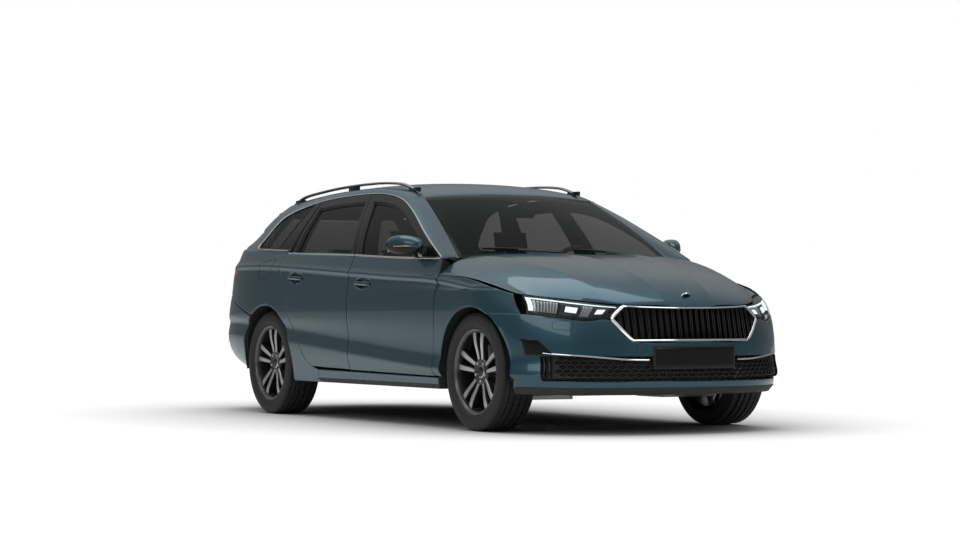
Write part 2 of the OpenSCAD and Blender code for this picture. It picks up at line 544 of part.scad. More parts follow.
// angles round the arch at which the rear door's edge points are met
QUARTER_DOOR = [0, 8, 20, 33, 44, 56, 70, 78, 87];
function quarter_rows() = concat(QUARTER_LOW,
  [for (k = [0 : 8]) let (p = [REAR_DOOR[k][1], REAR_DOOR[k][2]], c = [axle_r, hub_z],
      q = p + (c - p) * (panel_gap / norm(c - p)) + [k == 8 ? 4 : k == 7 ? -4 : 0, k == 8 ? 14 : k == 7 ? 3 : 0])
    [QUARTER_DOOR[k], q[0], q[1]]],
  QUARTER_HIGH);
sill_inner_y = 725;
module side_frame(side) {
  color(paint) {
    // cant rail, windscreen pillar, rear quarter above the belt
    cols = concat([for (r = UPPER) upper_column(r)],
      [[for (z = [1066, 1120, 1200, 1290, 1328]) d_edge(z)]]);
    outer = [for (c = cols) [for (p = c) [p[0], side * p[1], p[2]]]];
    last = len(cols) - 1;
    inward = function(i) i == last ? [30, 30, 30, 30, -12] : [30, 30, 60, 34, 0];
    inner = [for (i = [0 : last]) [for (j = [0 : 4]) let (p = cols[i][j])
      [p[0] + (i == last ? 52 : 0), side * (p[1] - inward(i)[j]), p[2] - [0, 0, 0, i == last ? 6 : 20, 32][j]]]];
    grid_shell(outer, inner, function(i, j) i < 13 ? j >= 2 : !(i >= 14 && i < 17 && j == 1), side < 0);
    // rear quarter below the belt
    rows = quarter_rows();
    g = [for (k = [len(rows) - 1 : -1 : 0])
      let (q = rows[k], p = [axle_r + arch_rear_r * cos(q[0]), hub_z + arch_rear_r * sin(q[0])],
        w = q[1] < -1960 ? [-1925, q[2] > 1000 ? 1004 : 972] : mix(p, [q[1], q[2]], 0.78))
      [p, mix(p, w, 0.25), mix(p, w, 0.64), w, [q[1], q[2]]]];
    side_shell(side, g, g, function(j) sheet_t, function(i, j) true);
    // sill
    xs = [1040, 800, 500, 200, -100, -350, -530];
    sill_z = function(x) [222, 245, 270, mix(288, 302, (1040 - x) / 1540)];
    sill_out = [for (x = xs) [for (z = sill_z(x)) [x, side * (side_y(x, z) - 2), z]]];
    sill_in = [for (x = xs) [for (z = sill_z(x)) [x, side * sill_inner_y, z]]];
    grid_shell(sill_out, sill_in, function(i, j) true, side < 0);
    // centre pillar behind the doors: z, front x, rear x, distance in from the skin
    pillar = [[253, 20, -130, 130, 45], [620, 10, -120, 130, 45], [880, 2, -112, 130, 45],
              [960, 0, -110, 112, 45], [1010, -12, -110, 88, 45], [1070, -30, -120, 62, 45],
              [1200, -80, -150, 54, 45], [1352, -140, -210, 50, 40], [1397, -150, -215, 42, 22]];
    p_out = [for (c = [1, 2]) [for (r = pillar) [r[c], side * (side_y(r[c], r[0]) - r[3]), r[0]]]];
    p_in = [for (c = [1, 2]) [for (r = pillar) [r[c], side * (side_y(r[c], r[0]) - r[3] - r[4]), r[0]]]];
    grid_shell(p_out, p_in, function(i, j) true, side < 0);
    // hinge pillar inside the front door's front edge
    mirror([0, side < 0 ? 1 : 0, 0]) translate([950, 640, 252.3]) cube([58, 122, 684]);
  }
}

module quarter_windows() {
  color("#23282b")
  for (side = [-1, 1]) {
    cols = [for (i = [14 : 17]) upper_column(UPPER[i])];
    pt = function(i, j, d) let (p = cols[i][j], e = i == 0 ? -2 : i == 3 ? 2 : 0, f = j == 1 ? 2 : -2)
      [p[0] + e, side * (p[1] - d), p[2] + f];
    grid_shell([for (i = [0 : 3]) [for (j = [1, 2]) pt(i, j, 12)]], [for (i = [0 : 3]) [for (j = [1, 2]) pt(i, j, 12 + glass_t)]],
      function(i, j) true, side < 0);
  }
}

// ---------- tailgate ----------
tail_rows = [662, 800, 955, 988, 1040, 1120, 1200, 1290];
function tailgate_pt(v, z, d) =
  let (y = v * at(TAILGATE_EDGE, z)) [rear_face_x(y, z) + d, y - v * d * 0.69, z];
// lip of the roof spoiler and the seam to the roof
function spoiler_lip(v) = [-2150 + 200 * v * v, v * 470, 1352 - 26 * v * v];
function spoiler_top(v) = [-2066 + 150 * v * v, v * 452, roof_z(-2060, v * 452) - 2];
module tailgate() {
  color(paint) {
    vs = [-1, -0.86, -0.6, -0.3, 0, 0.3, 0.6, 0.86, 1];
    outer = [for (v = vs) [for (z = tail_rows) tailgate_pt(v, z, 0), spoiler_lip(v), spoiler_top(v)]];
    inner = [for (v = vs) [for (z = tail_rows) tailgate_pt(v, z, tailgate_t),
      spoiler_lip(v * 0.93) + [45, 0, -34], spoiler_top(v * 0.97) + [0, 0, -34]]];
    grid_shell(outer, inner, function(i, j) !(i >= 1 && i < 7 && j >= 4 && j < 7), true);
  }
}
module tailgate_window() {
  color("#23282b") {
    vs = [-0.86, -0.6, -0.3, 0, 0.3, 0.6, 0.86];
    zs = [1040, 1120, 1200, 1290];
    pt = function(i, j, d) let (p = tailgate_pt(vs[i], zs[j], d))
      p + [0, i == 0 ? 1.2 : i == 6 ? -1.2 : 0, j == 0 ? 1.2 : j == 3 ? -1.2 : 0];
    grid_shell([for (i = [0 : 6]) [for (j = [0 : 3]) pt(i, j, 10)]], [for (i = [0 : 6]) [for (j = [0 : 3]) pt(i, j, 16)]],
      function(i, j) true, true);
  }
}

// ---------- lamps, grilles ----------
module headlamps() {
  color("#aab4ba")
  for (side = [-1, 1]) {
    pt = function(k, s, d) let (
      yl = mix(492, 806, k), yu = mix(412, 796, k), y = mix(yl, yu, s),
      z = mix(at(FRONT_TOP, yl) + 4.5, at(BONNET_EDGE, yu) - 13.5, s))
      [front_face_x(y + d * 0.6, z) - d, side * y, z];
    ks = [0, 0.2, 0.4, 0.6, 0.8, 0.92, 1];
    grid_shell([for (k = ks) [for (s = [0, 0.5, 1]) pt(k, s, 0)]], [for (k = ks) [for (s = [0, 0.5, 1]) pt(k, s, 70)]],
      function(i, j) true, side < 0);
  }
}
module tail_lamps() {
  color("#7a1014")
  for (side = [-1, 1]) {
    ks = [0, 0.2, 0.4, 0.6, 0.8, 1];
    zs = [774, 860, 946];
    pt = function(k, z, d) let (y0 = at(TAILGATE_EDGE, z) + 11, t0 = rear_angle(rear_face_x(y0, z), z),
        p = rear_pt(mix(t0, rear_angle(-1970, z), k), z, d)) [p[0], side * p[1], z];
    grid_shell([for (k = ks) [for (z = zs) pt(k, z, 0)]], [for (k = ks) [for (z = zs) pt(k, z, 60)]],
      function(i, j) true, side > 0);
  }
}
module radiator_grille() {
  color(trim_black) {
    // half width at the bottom, the widest line and the top
    rows = [[506, 376], [560, 424], [624, 472], [658, 442], [686, 400]];
    pt = function(v, r, d) let (y = v * r[1], z = r[0] - (r[0] > 650 ? 10 * (1 - v * v) : 0)) [front_face_x(y, z) - d, y, z];
    vs = [-1, -0.75, -0.5, -0.25, 0, 0.25, 0.5, 0.75, 1];
    grid_shell([for (v = vs) [for (r = rows) pt(v, r, 4)]], [for (v = vs) [for (r = rows) pt(v, r, 44)]],
      function(i, j) true);
  }
}
module lower_grille() {
  color(trim_black) {
    pt = function(k, z, off) let (t = front_t(k, z)) front_pt(t - (abs(k) == 10 ? sign(k) * 0.25 : 0), z, off);
    zs = [291, 350, 424];
    grid_shell([for (k = [-10 : 10]) [for (z = zs) pt(k, z, 10)]], [for (k = [-10 : 10]) [for (z = zs) pt(k, z, 23)]]);
  }
}

// ---------- roof rails ----------
roof_xs = [-2060, -1830, -1600, -1350, -1100, -800, -500, -200, 0, 150, 260, 335];
// height of the roof's facets near its edge
function roof_flat(x, y) =
  let (w = at(ROOF, x, 2), s = (y - 0.8 * w) / (0.2 * w)) mix(roof_z(x, 0.8 * w), roof_z(x, w), s);
module roof_rails() {
  color("#9a9d9f")
  for (side = [-1, 1]) {
    // x on the roof's own stations, height of the rail
    pts = [[260, 5], [150, 22], [0, 32], [-200, 34], [-500, 35], [-800, 35], [-1100, 34], [-1350, 30], [-1600, 6]];
    ring = function(r, y, up) let (x = r[0], yy = at(ROOF, x, 2) - y) [x, side * yy, roof_flat(x, yy) + 0.7 + up];
    outer = [for (r = pts) [ring(r, 7, 0), ring(r, 9, r[1])]];
    inner = [for (r = pts) [ring(r, 38, 0), ring(r, 32, r[1])]];
    grid_shell(outer, inner, function(i, j) true, side < 0);
  }
}

// ---------- cowl, liners ----------
module cowl_panel() {
  color(trim_black) {
    vs = [-1, -0.6, -0.25, 0.25, 0.6, 1];
    b = function(v) 1 - v * v;
    outer = [for (v = vs) [[1046 + 30 * b(v), v * 634, 902 + 40 * b(v)], [1003 + 62 * b(v), v * 634, 962 + 8 * b(v)]]];
    inner = [for (v = vs) [[1046 + 30 * b(v), v * 634, 872.3], [960 + 60 * b(v), v * 634, 936]]];
    grid_shell(outer, inner, function(i, j) true, false);
  }
}
module liner(x, r, inner_y, outer_y, from, to) {
  translate([x, 0, hub_z]) rotate([90, 0, 0]) translate([0, 0, -outer_y]) {
    rotate([0, 0, from]) rotate_extrude(angle = to - from, $fn = 96) {
      translate([r, 0]) square([5, outer_y - inner_y]);
      translate([120, outer_y - inner_y - 5]) square([r - 118, 5]);
    }
  }
}
module wheel_arch_liners() {
  color(trim_black)
  for (side = [-1, 1]) mirror([0, side < 0 ? 1 : 0, 0]) {
    difference() {
      liner(axle_f, 392, 455, 790, 10, 178);
      translate([axle_f, kingpin_y, hub_z]) rotate([kingpin_lean, 0, 0]) translate([0, 0, 340]) cylinder(r = 34, h = 200);
    }
    liner(axle_r, 377, 590.3, 820, 12, 165);
  }
}

// ---------- cabin ----------
wheel_tilt = 25;                // the steering column's lean
module at_column() { translate([470, 372, 900]) rotate([0, wheel_tilt - 90, 0]) children(); }
module dashboard() {
  color("#1c1d1f") {
    difference() {
      translate([700, -700, 640]) cube([240, 1400, 270]);
      translate([690, -680, 630]) cube([110, 1360, 110]);
    }
    translate([-100, -110, 252.3]) cube([820, 220, 300]);
    at_column() translate([0, 0, -340]) cylinder(r = 32, h = 97.7);
  }
}
module seat(w) {
  // cushion, back, head restraint
  hull() {
    translate([330, -w / 2 + 50, 400]) rotate([-90, 0, 0]) cylinder(r = 60, h = w - 100, $fn = 24);
    translate([-60, -w / 2 + 20, 380]) rotate([-90, 0, 0]) cylinder(r = 80, h = w - 40, $fn = 24);
  }
  hull() {
    translate([-60, -w / 2 + 20, 400]) rotate([-90, 0, 0]) cylinder(r = 60, h = w - 40, $fn = 24);
    translate([-250, -w / 2 + 50, 970]) rotate([-90, 0, 0]) cylinder(r = 42, h = w - 100, $fn = 24);
  }
  hull() {
    translate([-262, -120, 1050]) rotate([-90, 0, 0]) cylinder(r = 38, h = 240, $fn = 24);
    translate([-286, -105, 1150]) rotate([-90, 0, 0]) cylinder(r = 34, h = 210, $fn = 24);
  }
  for (y = [-60, 60]) translate([-254, y, 960]) cylinder(r = 7, h = 100, $fn = 16);
}
module front_seats() {
  color("#5a2f22")
  for (side = [-1, 1]) translate([0, side * 372, 0]) {
    seat(seat_w);
    translate([-80, -180, 252.3]) cube([400, 360, 60]);
  }
}
module rear_bench() {
  color("#5a2f22") {
    hull() {
      translate([-530, -bench_w / 2 + 32, 400]) rotate([-90, 0, 0]) cylinder(r = 60, h = bench_w - 64, $fn = 24);
      translate([-860, -bench_w / 2 + 32, 402]) rotate([-90, 0, 0]) cylinder(r = 70, h = bench_w - 64, $fn = 24);
    }
    hull() {
      translate([-880, -560, 420]) rotate([-90, 0, 0]) cylinder(r = 50, h = 1120, $fn = 24);
      translate([-1080, -560, 900]) rotate([-90, 0, 0]) cylinder(r = 38, h = 1120, $fn = 24);
    }
    for (y = [-360, 0, 360]) {
      hull() {
        translate([-1092, y - 110, 990]) rotate([-90, 0, 0]) cylinder(r = 34, h = 220, $fn = 24);
        translate([-1108, y - 100, 1060]) rotate([-90, 0, 0]) cylinder(r = 30, h = 200, $fn = 24);
      }
      translate([-1090, y, 890]) cylinder(r = 8, h = 100, $fn = 16);
    }
    translate([-855, -560, 252.3]) cube([300, 1120, 80]);
  }
}
module steering_wheel() {
  color(trim_black)
  at_column() {
    rotate_extrude($fn = 72) translate([steering_wheel_d / 2 - 15, 0]) circle(r = 15, $fn = 24);
    translate([0, 0, -40]) cylinder(r = 66, h = 46);
    for (a = [0, 180, 270]) rotate([0, 0, a]) translate([50, -22, -26]) cube([steering_wheel_d / 2 - 62, 44, 18]);
    translate([0, 0, -242]) cylinder(r = 18, h = 207);
  }
}

// ---------- engine, exhaust ----------
module engine_block() {
  color("#3a3d40") translate([1330, -290, 250.3]) cube([460, 580, 470]);
}
module exhaust() {
  color("#8d9093") {
    translate([-1900, 0, 203.7]) rotate([0, 90, 0]) cylinder(r = 28, h = 2820);
    translate([-2130, -330, 178]) cube([260, 660, 92]);
    for (side = [-1, 1]) translate([-2290, side * 300, 222]) rotate([0, 90, 0]) cylinder(r = 32, h = 180);
  }
}
module floor_pan() {
  color("#26292b") {
    translate([-880, -724.7, 232]) cube([1910, 1449.4, 20]);
    translate([-2060, -580, 300]) cube([1190, 1160, 20]);
    translate([-2060, -580, 300]) cube([20, 1160, 330]);
    translate([-880, -580, 232]) cube([20, 1160, 88]);
    translate([1010, -640, 232]) cube([46.7, 1280, 640]);
  }
}

floor_pan();
side_frame(1);  // side_frame_left
side_frame(-1);  // side_frame_right
roof_panel();
windscreen();
quarter_windows();
cowl_panel();
front_wing(1);  // front_wing_left
front_wing(-1);  // front_wing_right
front_bumper();
rear_bumper();
radiator_grille();
lower_grille();
headlamps();
tail_lamps();
roof_rails();
wheel_arch_liners();
dashboard();
front_seats();
rear_bench();
engine_block();
front_subframe();
rear_axle();
exhaust();
bonnet();
tailgate();
tailgate_window();
front_door(1);  // front_door_left
door_glass(1, front_door_grid(), 500, 560, 1, 7);  // front_door_window_left
door_mirror(1);  // door_mirror_left
front_door(-1);  // front_door_right
door_glass(-1, front_door_grid(), 500, 560, 1, 7);  // front_door_window_right
door_mirror(-1);  // door_mirror_right
rear_door(1);  // rear_door_left
door_glass(1, rear_door_grid(), -500, 500, 1, 7, rear_glass_fit,  // rear_door_window_left
  rear_glass_cut);
rear_door(-1);  // rear_door_right
door_glass(-1, rear_door_grid(), -500, 500, 1, 7, rear_glass_fit,  // rear_door_window_right
  rear_glass_cut);
steering_wheel();
front_knuckle(1);  // front_knuckle_left
front_knuckle(-1);  // front_knuckle_right
wheel_at(axle_f, 1) rim();  // rim_front_left
wheel_at(axle_f, 1) tyre();  // tyre_front_left
wheel_at(axle_f, -1) rim();  // rim_front_right
wheel_at(axle_f, -1) tyre();  // tyre_front_right
wheel_at(axle_r, 1) rim();  // rim_rear_left
wheel_at(axle_r, 1) tyre();  // tyre_rear_left
wheel_at(axle_r, -1) rim();  // rim_rear_right
wheel_at(axle_r, -1) tyre();  // tyre_rear_right
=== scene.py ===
"""Looks of a five-door station wagon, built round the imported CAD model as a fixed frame.

Lengths inside the classes are millimetres in the row frame: +X forwards, +Y to the car's left, +Z up.
"""
import logging
import math
from dataclasses import dataclass
from enum import Enum
from typing import Callable, Optional, Sequence

import bmesh
import bpy
import numpy as np
from mathutils import Matrix, Vector


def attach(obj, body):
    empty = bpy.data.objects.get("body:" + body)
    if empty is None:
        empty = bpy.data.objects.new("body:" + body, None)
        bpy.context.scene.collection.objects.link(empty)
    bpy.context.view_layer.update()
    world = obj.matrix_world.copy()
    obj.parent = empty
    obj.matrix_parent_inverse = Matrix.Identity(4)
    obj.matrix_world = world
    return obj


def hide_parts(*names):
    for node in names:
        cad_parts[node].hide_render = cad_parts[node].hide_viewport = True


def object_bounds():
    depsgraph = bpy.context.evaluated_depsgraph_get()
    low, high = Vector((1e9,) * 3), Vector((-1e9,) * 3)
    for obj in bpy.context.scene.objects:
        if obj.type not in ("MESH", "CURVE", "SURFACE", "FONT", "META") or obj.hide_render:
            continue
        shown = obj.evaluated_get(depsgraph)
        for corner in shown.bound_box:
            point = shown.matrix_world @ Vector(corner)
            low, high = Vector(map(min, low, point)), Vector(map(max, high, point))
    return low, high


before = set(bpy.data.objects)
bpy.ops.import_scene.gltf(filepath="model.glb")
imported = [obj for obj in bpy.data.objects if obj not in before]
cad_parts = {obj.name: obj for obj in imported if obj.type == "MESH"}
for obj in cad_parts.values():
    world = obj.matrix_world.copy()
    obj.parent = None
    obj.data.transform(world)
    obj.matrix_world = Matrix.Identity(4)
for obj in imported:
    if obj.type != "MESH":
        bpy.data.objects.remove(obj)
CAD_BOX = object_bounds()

log = logging.getLogger("wagon")
MM = 0.001
Array = np.ndarray

# ---------------------------------------------------------------------------------------------
# Lines of the body, the same as the CAD's
# ---------------------------------------------------------------------------------------------
AXLE_F, AXLE_R, HUB_Z, HALF_W = 1454.0, -1232.0, 330.0, 914.5
# x, belt line z, shoulder crease z, lower crease z
SIDE_LINES = [[-2350, 1075, 958, 500], [-1820, 1064, 959, 500], [-1320, 1046, 957, 480], [-930, 1031, 943, 466],
              [-50, 1001, 899, 404], [466, 978, 874, 367], [1050, 964, 846, 330], [1790, 964, 752, 300]]
WINDOW_TOP = [[-1560, 1070], [-1500, 1104], [-1373, 1202], [-1224, 1287], [-965, 1347], [-729, 1373],
              [-480, 1385], [-161, 1387], [67, 1369], [253, 1331], [454, 1255], [706, 1133], [1050, 966]]
INSET = np.array([60, 42, 32, 9, 17, 4, 3, 10, 20, 13, 26, 58], float)
WINDOW_LEAN = [[-40, 0], [0, 0], [120, 46], [240, 112], [360, 186], [440, 240]]
REAR_LEAN = [[-40, 0], [0, 0], [20, 14], [60, 42], [100, 58], [220, 75], [400, 92]]
REAR_SHARE = [[-2400, 1], [-1750, 1], [-1300, 0], [-1200, 0]]
# z, x, roundness of the plan
NOSE = [[200, 2290, 2.45], [250, 2338, 2.5], [300, 2349, 2.5], [400, 2343, 2.45], [510, 2340, 2.4],
        [630, 2326, 2.25], [700, 2298, 2.15], [760, 2240, 2.0], [800, 2200, 2.0]]
TAIL = [[200, -2285, 3.2], [290, -2330, 3.3], [420, -2349, 3.4], [560, -2342, 3.4], [660, -2325, 3.3],
        [800, -2300, 3.2], [900, -2284, 3.2], [1000, -2248, 3.0], [1070, -2216, 3.0], [1156, -2172, 2.7],
        [1280, -2108, 2.4], [1400, -2044, 2.3]]
# x, roof centre z, edge half width, edge z
ROOF = [[-2060, 1376, 452, 1338], [-1830, 1404, 500, 1350], [-1600, 1422, 535, 1368], [-1200, 1445, 566, 1398],
        [-800, 1461, 578, 1420], [-330, 1468, 582, 1428], [0, 1453, 584, 1412], [200, 1426, 586, 1384],
        [345, 1386, 588, 1344], [400, 1366, 589, 1328]]
# share of the length, centre z, seam x, seam half width, seam z
BONNET = [[0, 997, 1066, 889, 872], [0.18, 992, 1196, 882, 868], [0.37, 974, 1334, 871, 858],
          [0.55, 940, 1465, 856, 840], [0.7, 893, 1573, 840, 818], [0.82, 842, 1660, 825, 797],
          [0.92, 776, 1732, 811, 779], [0.97, 730, 1768, 803, 770], [1, 690, 1790, 799, 765]]
BONNET_EDGE = [[0, 690], [110, 690], [190, 700], [402, 703], [600, 728], [800, 765]]
BONNET_FLAT = [[0, 7], [0.2, 5], [0.45, 3.4], [0.75, 2.6], [1, 2.4]]
FRONT_DOOR = [[296, 1010, 309], [330, 1018, 400], [420, 1026, 494], [560, 1040, 600], [700, 1050, 720],
              [790, 1056, 810], [818, 1058, 871], [846, 1060, 899], [962, 1060, 1001]]
REAR_DOOR = [[311, -585, 321], [352, -661, 364], [404, -729, 456], [494, -831, 571], [600, -911, 678],
             [720, -980, 795], [871, -1036, 919], [899, -1044, 949], [1001, -1000, 1028]]
WING = [[186, 1068, 300], [172, 1068, 420], [156, 1068, 600], [140, 1068, 865], [125, 1240, 857],
        [110, 1400, 840], [96, 1540, 815], [84, 1660, 786], [73, 1785, 756], [61, 1868, 650.4]]
FRONT_TOP = [[0, 500], [385, 505], [440, 562], [484, 618], [600, 612], [700, 629], [811, 648.5], [930, 649.7]]
REAR_TOP = [[-2400, 655], [-2262, 655], [-2170, 760], [-1950, 760], [-1800, 723], [-1600, 669], [-1448, 630],
            [-1380, 612]]
REAR_TUCK = [[200, 170], [276, 105], [326, 55], [390, 18], [460, 2], [520, 0], [2000, 0]]
TAILGATE_EDGE = [[660, 552], [800, 556], [958, 570], [985, 664], [1060, 655], [1200, 580], [1330, 455]]
# x at the belt, just above it, x and z at the window line (0: on it), x at the roof's edge
UPPER = [[1056, 1056, 1050, 0, 1012], [880, 880, 880, 0, 850], [706, 706, 706, 0, 690], [560, 560, 560, 0, 560],
         [454, 454, 454, 0, 468], [350, 350, 350, 0, 392], [253, 253, 253, 0, 335], [170, 170, 170, 0, 260],
         [67, 67, 67, 0, 150], [-60, -60, -60, 0, 0], [-200, -200, -200, 0, -200], [-500, -500, -500, 0, -500],
         [-729, -729, -700, 0, -800], [-1007, -938, -842, 0, -900], [-1150, -1145, -915, 0, -1000],
         [-1250, -1250, -1090, 0, -1100], [-1350, -1350, -1270, 0, -1350], [-1453, -1458, -1480, 1110, -1500],
         [-1620, -1620, -1640, 1170, -1600], [-1800, -1800, -1800, 1195, -1755]]
QUARTER_HIGH = [[92, -1150, 1051], [98, -1330, 1058], [104, -1540, 1067], [110, -1740, 1075], [115, -1890, 1078],
                [117.5, -2016, 1076], [119.5, -2003, 968], [121, -1935, 962], [125, -1945, 775]]
QUARTER_DOOR = [0, 8, 20, 33, 44, 56, 70, 78, 87]
ARCH_F, ARCH_R, GAP = 366.0, 376.0, 5.0


def at(table: Sequence[Sequence[float]], x: Array, column: int = 1) -> Array:
    """Smooth interpolation in a table whose first column rises.

    Args:
        table: Rows of numbers.
        x: Where to read it.
        column: The column to read.

    Returns:
        The value or values at x.
    """
    t = np.asarray(table, float)
    k, v, x = t[:, 0], t[:, column], np.asarray(x, float)
    rows = np.arange(len(k))
    lo, hi = np.maximum(rows - 1, 0), np.minimum(rows + 1, len(k) - 1)
    slope = (v[hi] - v[lo]) / (k[hi] - k[lo])
    i = np.clip(np.searchsorted(k, x, side="left") - 1, 0, len(k) - 2)
    h = k[i + 1] - k[i]
    s = np.clip((x - k[i]) / h, 0, 1)
    return (v[i] * (1 + s * s * (2 * s - 3)) + v[i + 1] * s * s * (3 - 2 * s)
            + h * s * (1 - s) * (slope[i] * (1 - s) - slope[i + 1] * s))


def by_row(table: Sequence[Sequence[float]], row: Array, column: int) -> Array:
    """Smooth interpolation in a table by row number."""
    return at([[i, r[column]] for i, r in enumerate(table)], row)


def mix(a: Array, b: Array, s: Array) -> Array:
    """The point at share s of the way from a to b."""
    return a + (b - a) * s


def side_inset(x: Array, z: Array) -> Array:
    """How far the body side lies inside its widest point.

    Args:
        x: Lengthwise places.
        z: Heights, of the same shape.

    Returns:
        Distances, never negative.
    """
    x, z = np.broadcast_arrays(np.asarray(x, float), np.asarray(z, float))
    shape = x.shape
    x, z = x.ravel(), z.ravel()
    low, sh, belt = at(SIDE_LINES, x, 3), at(SIDE_LINES, x, 2), at(SIDE_LINES, x, 1)
    o = np.zeros_like(low)
    k = np.stack([o + 200, o + 245, o + 300, low, low + 90, o + 620, o + 705, o + 785, sh - 28, sh, sh + 22, belt])
    n, rows = len(INSET), np.arange(len(INSET))
    lo, hi = np.maximum(rows - 1, 0), np.minimum(rows + 1, n - 1)
    slope = (INSET[hi] - INSET[lo])[:, None] / (k[hi] - k[lo])
    ok = z[None, :] <= k[1:]
    i = np.where(ok.any(axis=0), np.argmax(ok, axis=0), n - 2)
    i = np.clip(i, 0, n - 2)
    c = np.arange(len(x))
    h = k[i + 1, c] - k[i, c]
    s = np.clip((z - k[i, c]) / h, 0, 1)
    out = (INSET[i] * (1 + s * s * (2 * s - 3)) + INSET[i + 1] * s * s * (3 - 2 * s)
           + h * s * (1 - s) * (slope[i, c] * (1 - s) - slope[i + 1, c] * s))
    return out.reshape(shape)


def flat_side(x: Array, z: Array) -> Array:
    """Half width of the body between the axles, lean of the windows included."""
    belt = at(SIDE_LINES, x, 1)
    up = np.asarray(z) - belt
    lean = at(WINDOW_LEAN, up) + at(REAR_LEAN, up) * at(REAR_SHARE, x)
    return HALF_W - side_inset(x, np.minimum(z, belt)) - np.where(up > 0, lean, 0)


def side_y(x: Array, z: Array) -> Array:
    """Half width of the body at x and z, rounded in plan beyond the axles."""
    x, z = np.broadcast_arrays(np.asarray(x, float), np.asarray(z, float))
    front, rear = x > AXLE_F, x < AXLE_R
    flat = flat_side(np.where(front, AXLE_F, x), z)
    n = np.where(front, at(NOSE, z, 2), at(TAIL, z, 2))
    reach = np.where(front, at(NOSE, z) - AXLE_F, at(TAIL, z) - AXLE_R)
    u = np.where(front | rear, (x - np.where(front, AXLE_F, AXLE_R)) / reach, 0)
    return flat * np.power(np.maximum(0, 1 - np.power(np.clip(u, 0, 1), n)), 1 / n)


def front_face_x(y: Array, z: Array) -> Array:
    """x of the front face at half width y and height z."""
    n = at(NOSE, z, 2)
    w = np.clip(np.abs(y) / flat_side(np.full_like(np.asarray(z, float), AXLE_F), z), 0, 1)
    return AXLE_F + (at(NOSE, z) - AXLE_F) * np.power(1 - np.power(w, n), 1 / n)


def rear_face_x(y: Array, z: Array) -> Array:
    """x of the rear face at half width y and height z."""
    n = at(TAIL, z, 2)
    w = np.clip(np.abs(y) / flat_side(np.full_like(np.asarray(z, float), -1600.0), z), 0, 1)
    return AXLE_R + (at(TAIL, z) - AXLE_R) * np.power(1 - np.power(w, n), 1 / n)


def roof_z(x: Array, y: Array) -> Array:
    """Height of the roof's skin."""
    c, e, w = at(ROOF, x), at(ROOF, x, 3), at(ROOF, x, 2)
    return c - (c - e) * np.power(np.abs(y) / w, 2.2)


def bonnet_pt(u: Array, v: Array) -> Array:
    """Point of the bonnet's skin at share u of its length and v of its half width."""
    a = np.abs(v)
    side_x, half = at(BONNET, u, 2), at(BONNET, u, 3)
    edge_z = at(BONNET_EDGE, 799 * a)
    x = mix(1066 + 20 * (1 - v * v), front_face_x(799 * a, edge_z), u)
    xs = mix(x, side_x, a ** 6)
    bend = mix(np.power(a, at(BONNET_FLAT, u)), (edge_z - 690) / 75, u ** 4)
    return np.stack([xs, v * half, at(BONNET, u) + (at(BONNET, u, 4) - at(BONNET, u)) * bend], axis=-1)


def front_pt(t: Array, z: Array, off: float) -> Array:
    """Point of the front end at plan angle t, off millimetres inside its skin."""
    n, a = 2 / at(NOSE, z, 2), np.abs(t)
    x = AXLE_F + (at(NOSE, z) - AXLE_F - off) * np.power(np.clip(np.cos(a), 0, 1), n)
    y = np.sign(t) * (flat_side(np.full_like(np.asarray(z, float), AXLE_F), z) - off) * np.power(np.sin(a), n)
    return np.stack([x, y, z + 0 * x], axis=-1)


def front_angle(y: Array, z: Array) -> Array:
    """Plan angle of the front end at half width y."""
    w = np.abs(y) / flat_side(np.full_like(np.asarray(z, float), AXLE_F), z)
    return np.arcsin(np.power(np.clip(w, 0, 1), at(NOSE, z, 2) / 2))


def front_end(z: Array) -> Array:
    """Plan angle at which the front end meets the wheel arch."""
    run = np.sqrt(np.maximum(9, ARCH_F ** 2 - (z - HUB_Z) ** 2)) / (at(NOSE, z) - AXLE_F)
    return np.arccos(np.power(run, at(NOSE, z, 2) / 2))


def rear_pt(t: Array, z: Array, off: float) -> Array:
    """Point of the rear end at plan angle t, off millimetres inside its skin."""
    n, a, tuck = 2 / at(TAIL, z, 2), np.abs(t), at(REAR_TUCK, z)
    x = AXLE_R + (at(TAIL, z) - AXLE_R + off + tuck) * np.power(np.clip(np.cos(a), 0, 1), n)
    y = np.sign(t) * (flat_side(x, z) - off - tuck) * np.power(np.sin(a), n)
    return np.stack([x, y, z + 0 * x], axis=-1)


def rear_angle(x: Array, z: Array) -> Array:
    """Plan angle of the rear end at x."""
    run = (x - AXLE_R) / (at(TAIL, z) - AXLE_R + at(REAR_TUCK, z))
    return np.arccos(np.power(np.clip(run, 0, 1), at(TAIL, z, 2) / 2))


def rear_end(z: Array) -> Array:
    """Plan angle at which the rear end meets the wheel arch."""
    return rear_angle(AXLE_R - np.sqrt(np.maximum(9, ARCH_R ** 2 - (z - HUB_Z) ** 2)), z)


def skin(side: int, x: Array, z: Array, depth: Array = 0) -> Array:
    """Points of the body side, depth millimetres in."""
    x, z = np.broadcast_arrays(np.asarray(x, float), np.asarray(z, float))
    return np.stack([x, side * (side_y(x, z) - depth), z], axis=-1)


def spread(knots: Sequence[float], step: float) -> Array:
    """Numbers that keep every knot and fill the spaces to about the step."""
    out = [float(knots[0])]
    for a, b in zip(knots[:-1], knots[1:]):
        n = max(1, int(round(abs(b - a) / step)))
        out += [a + (b - a) * (i + 1) / n for i in range(n)]
    return np.array(out)


def smooth(t: Array) -> Array:
    """Smooth step from 0 to 1 as t goes from 0 to 1."""
    t = np.clip(t, 0, 1)
    return t * t * (3 - 2 * t)


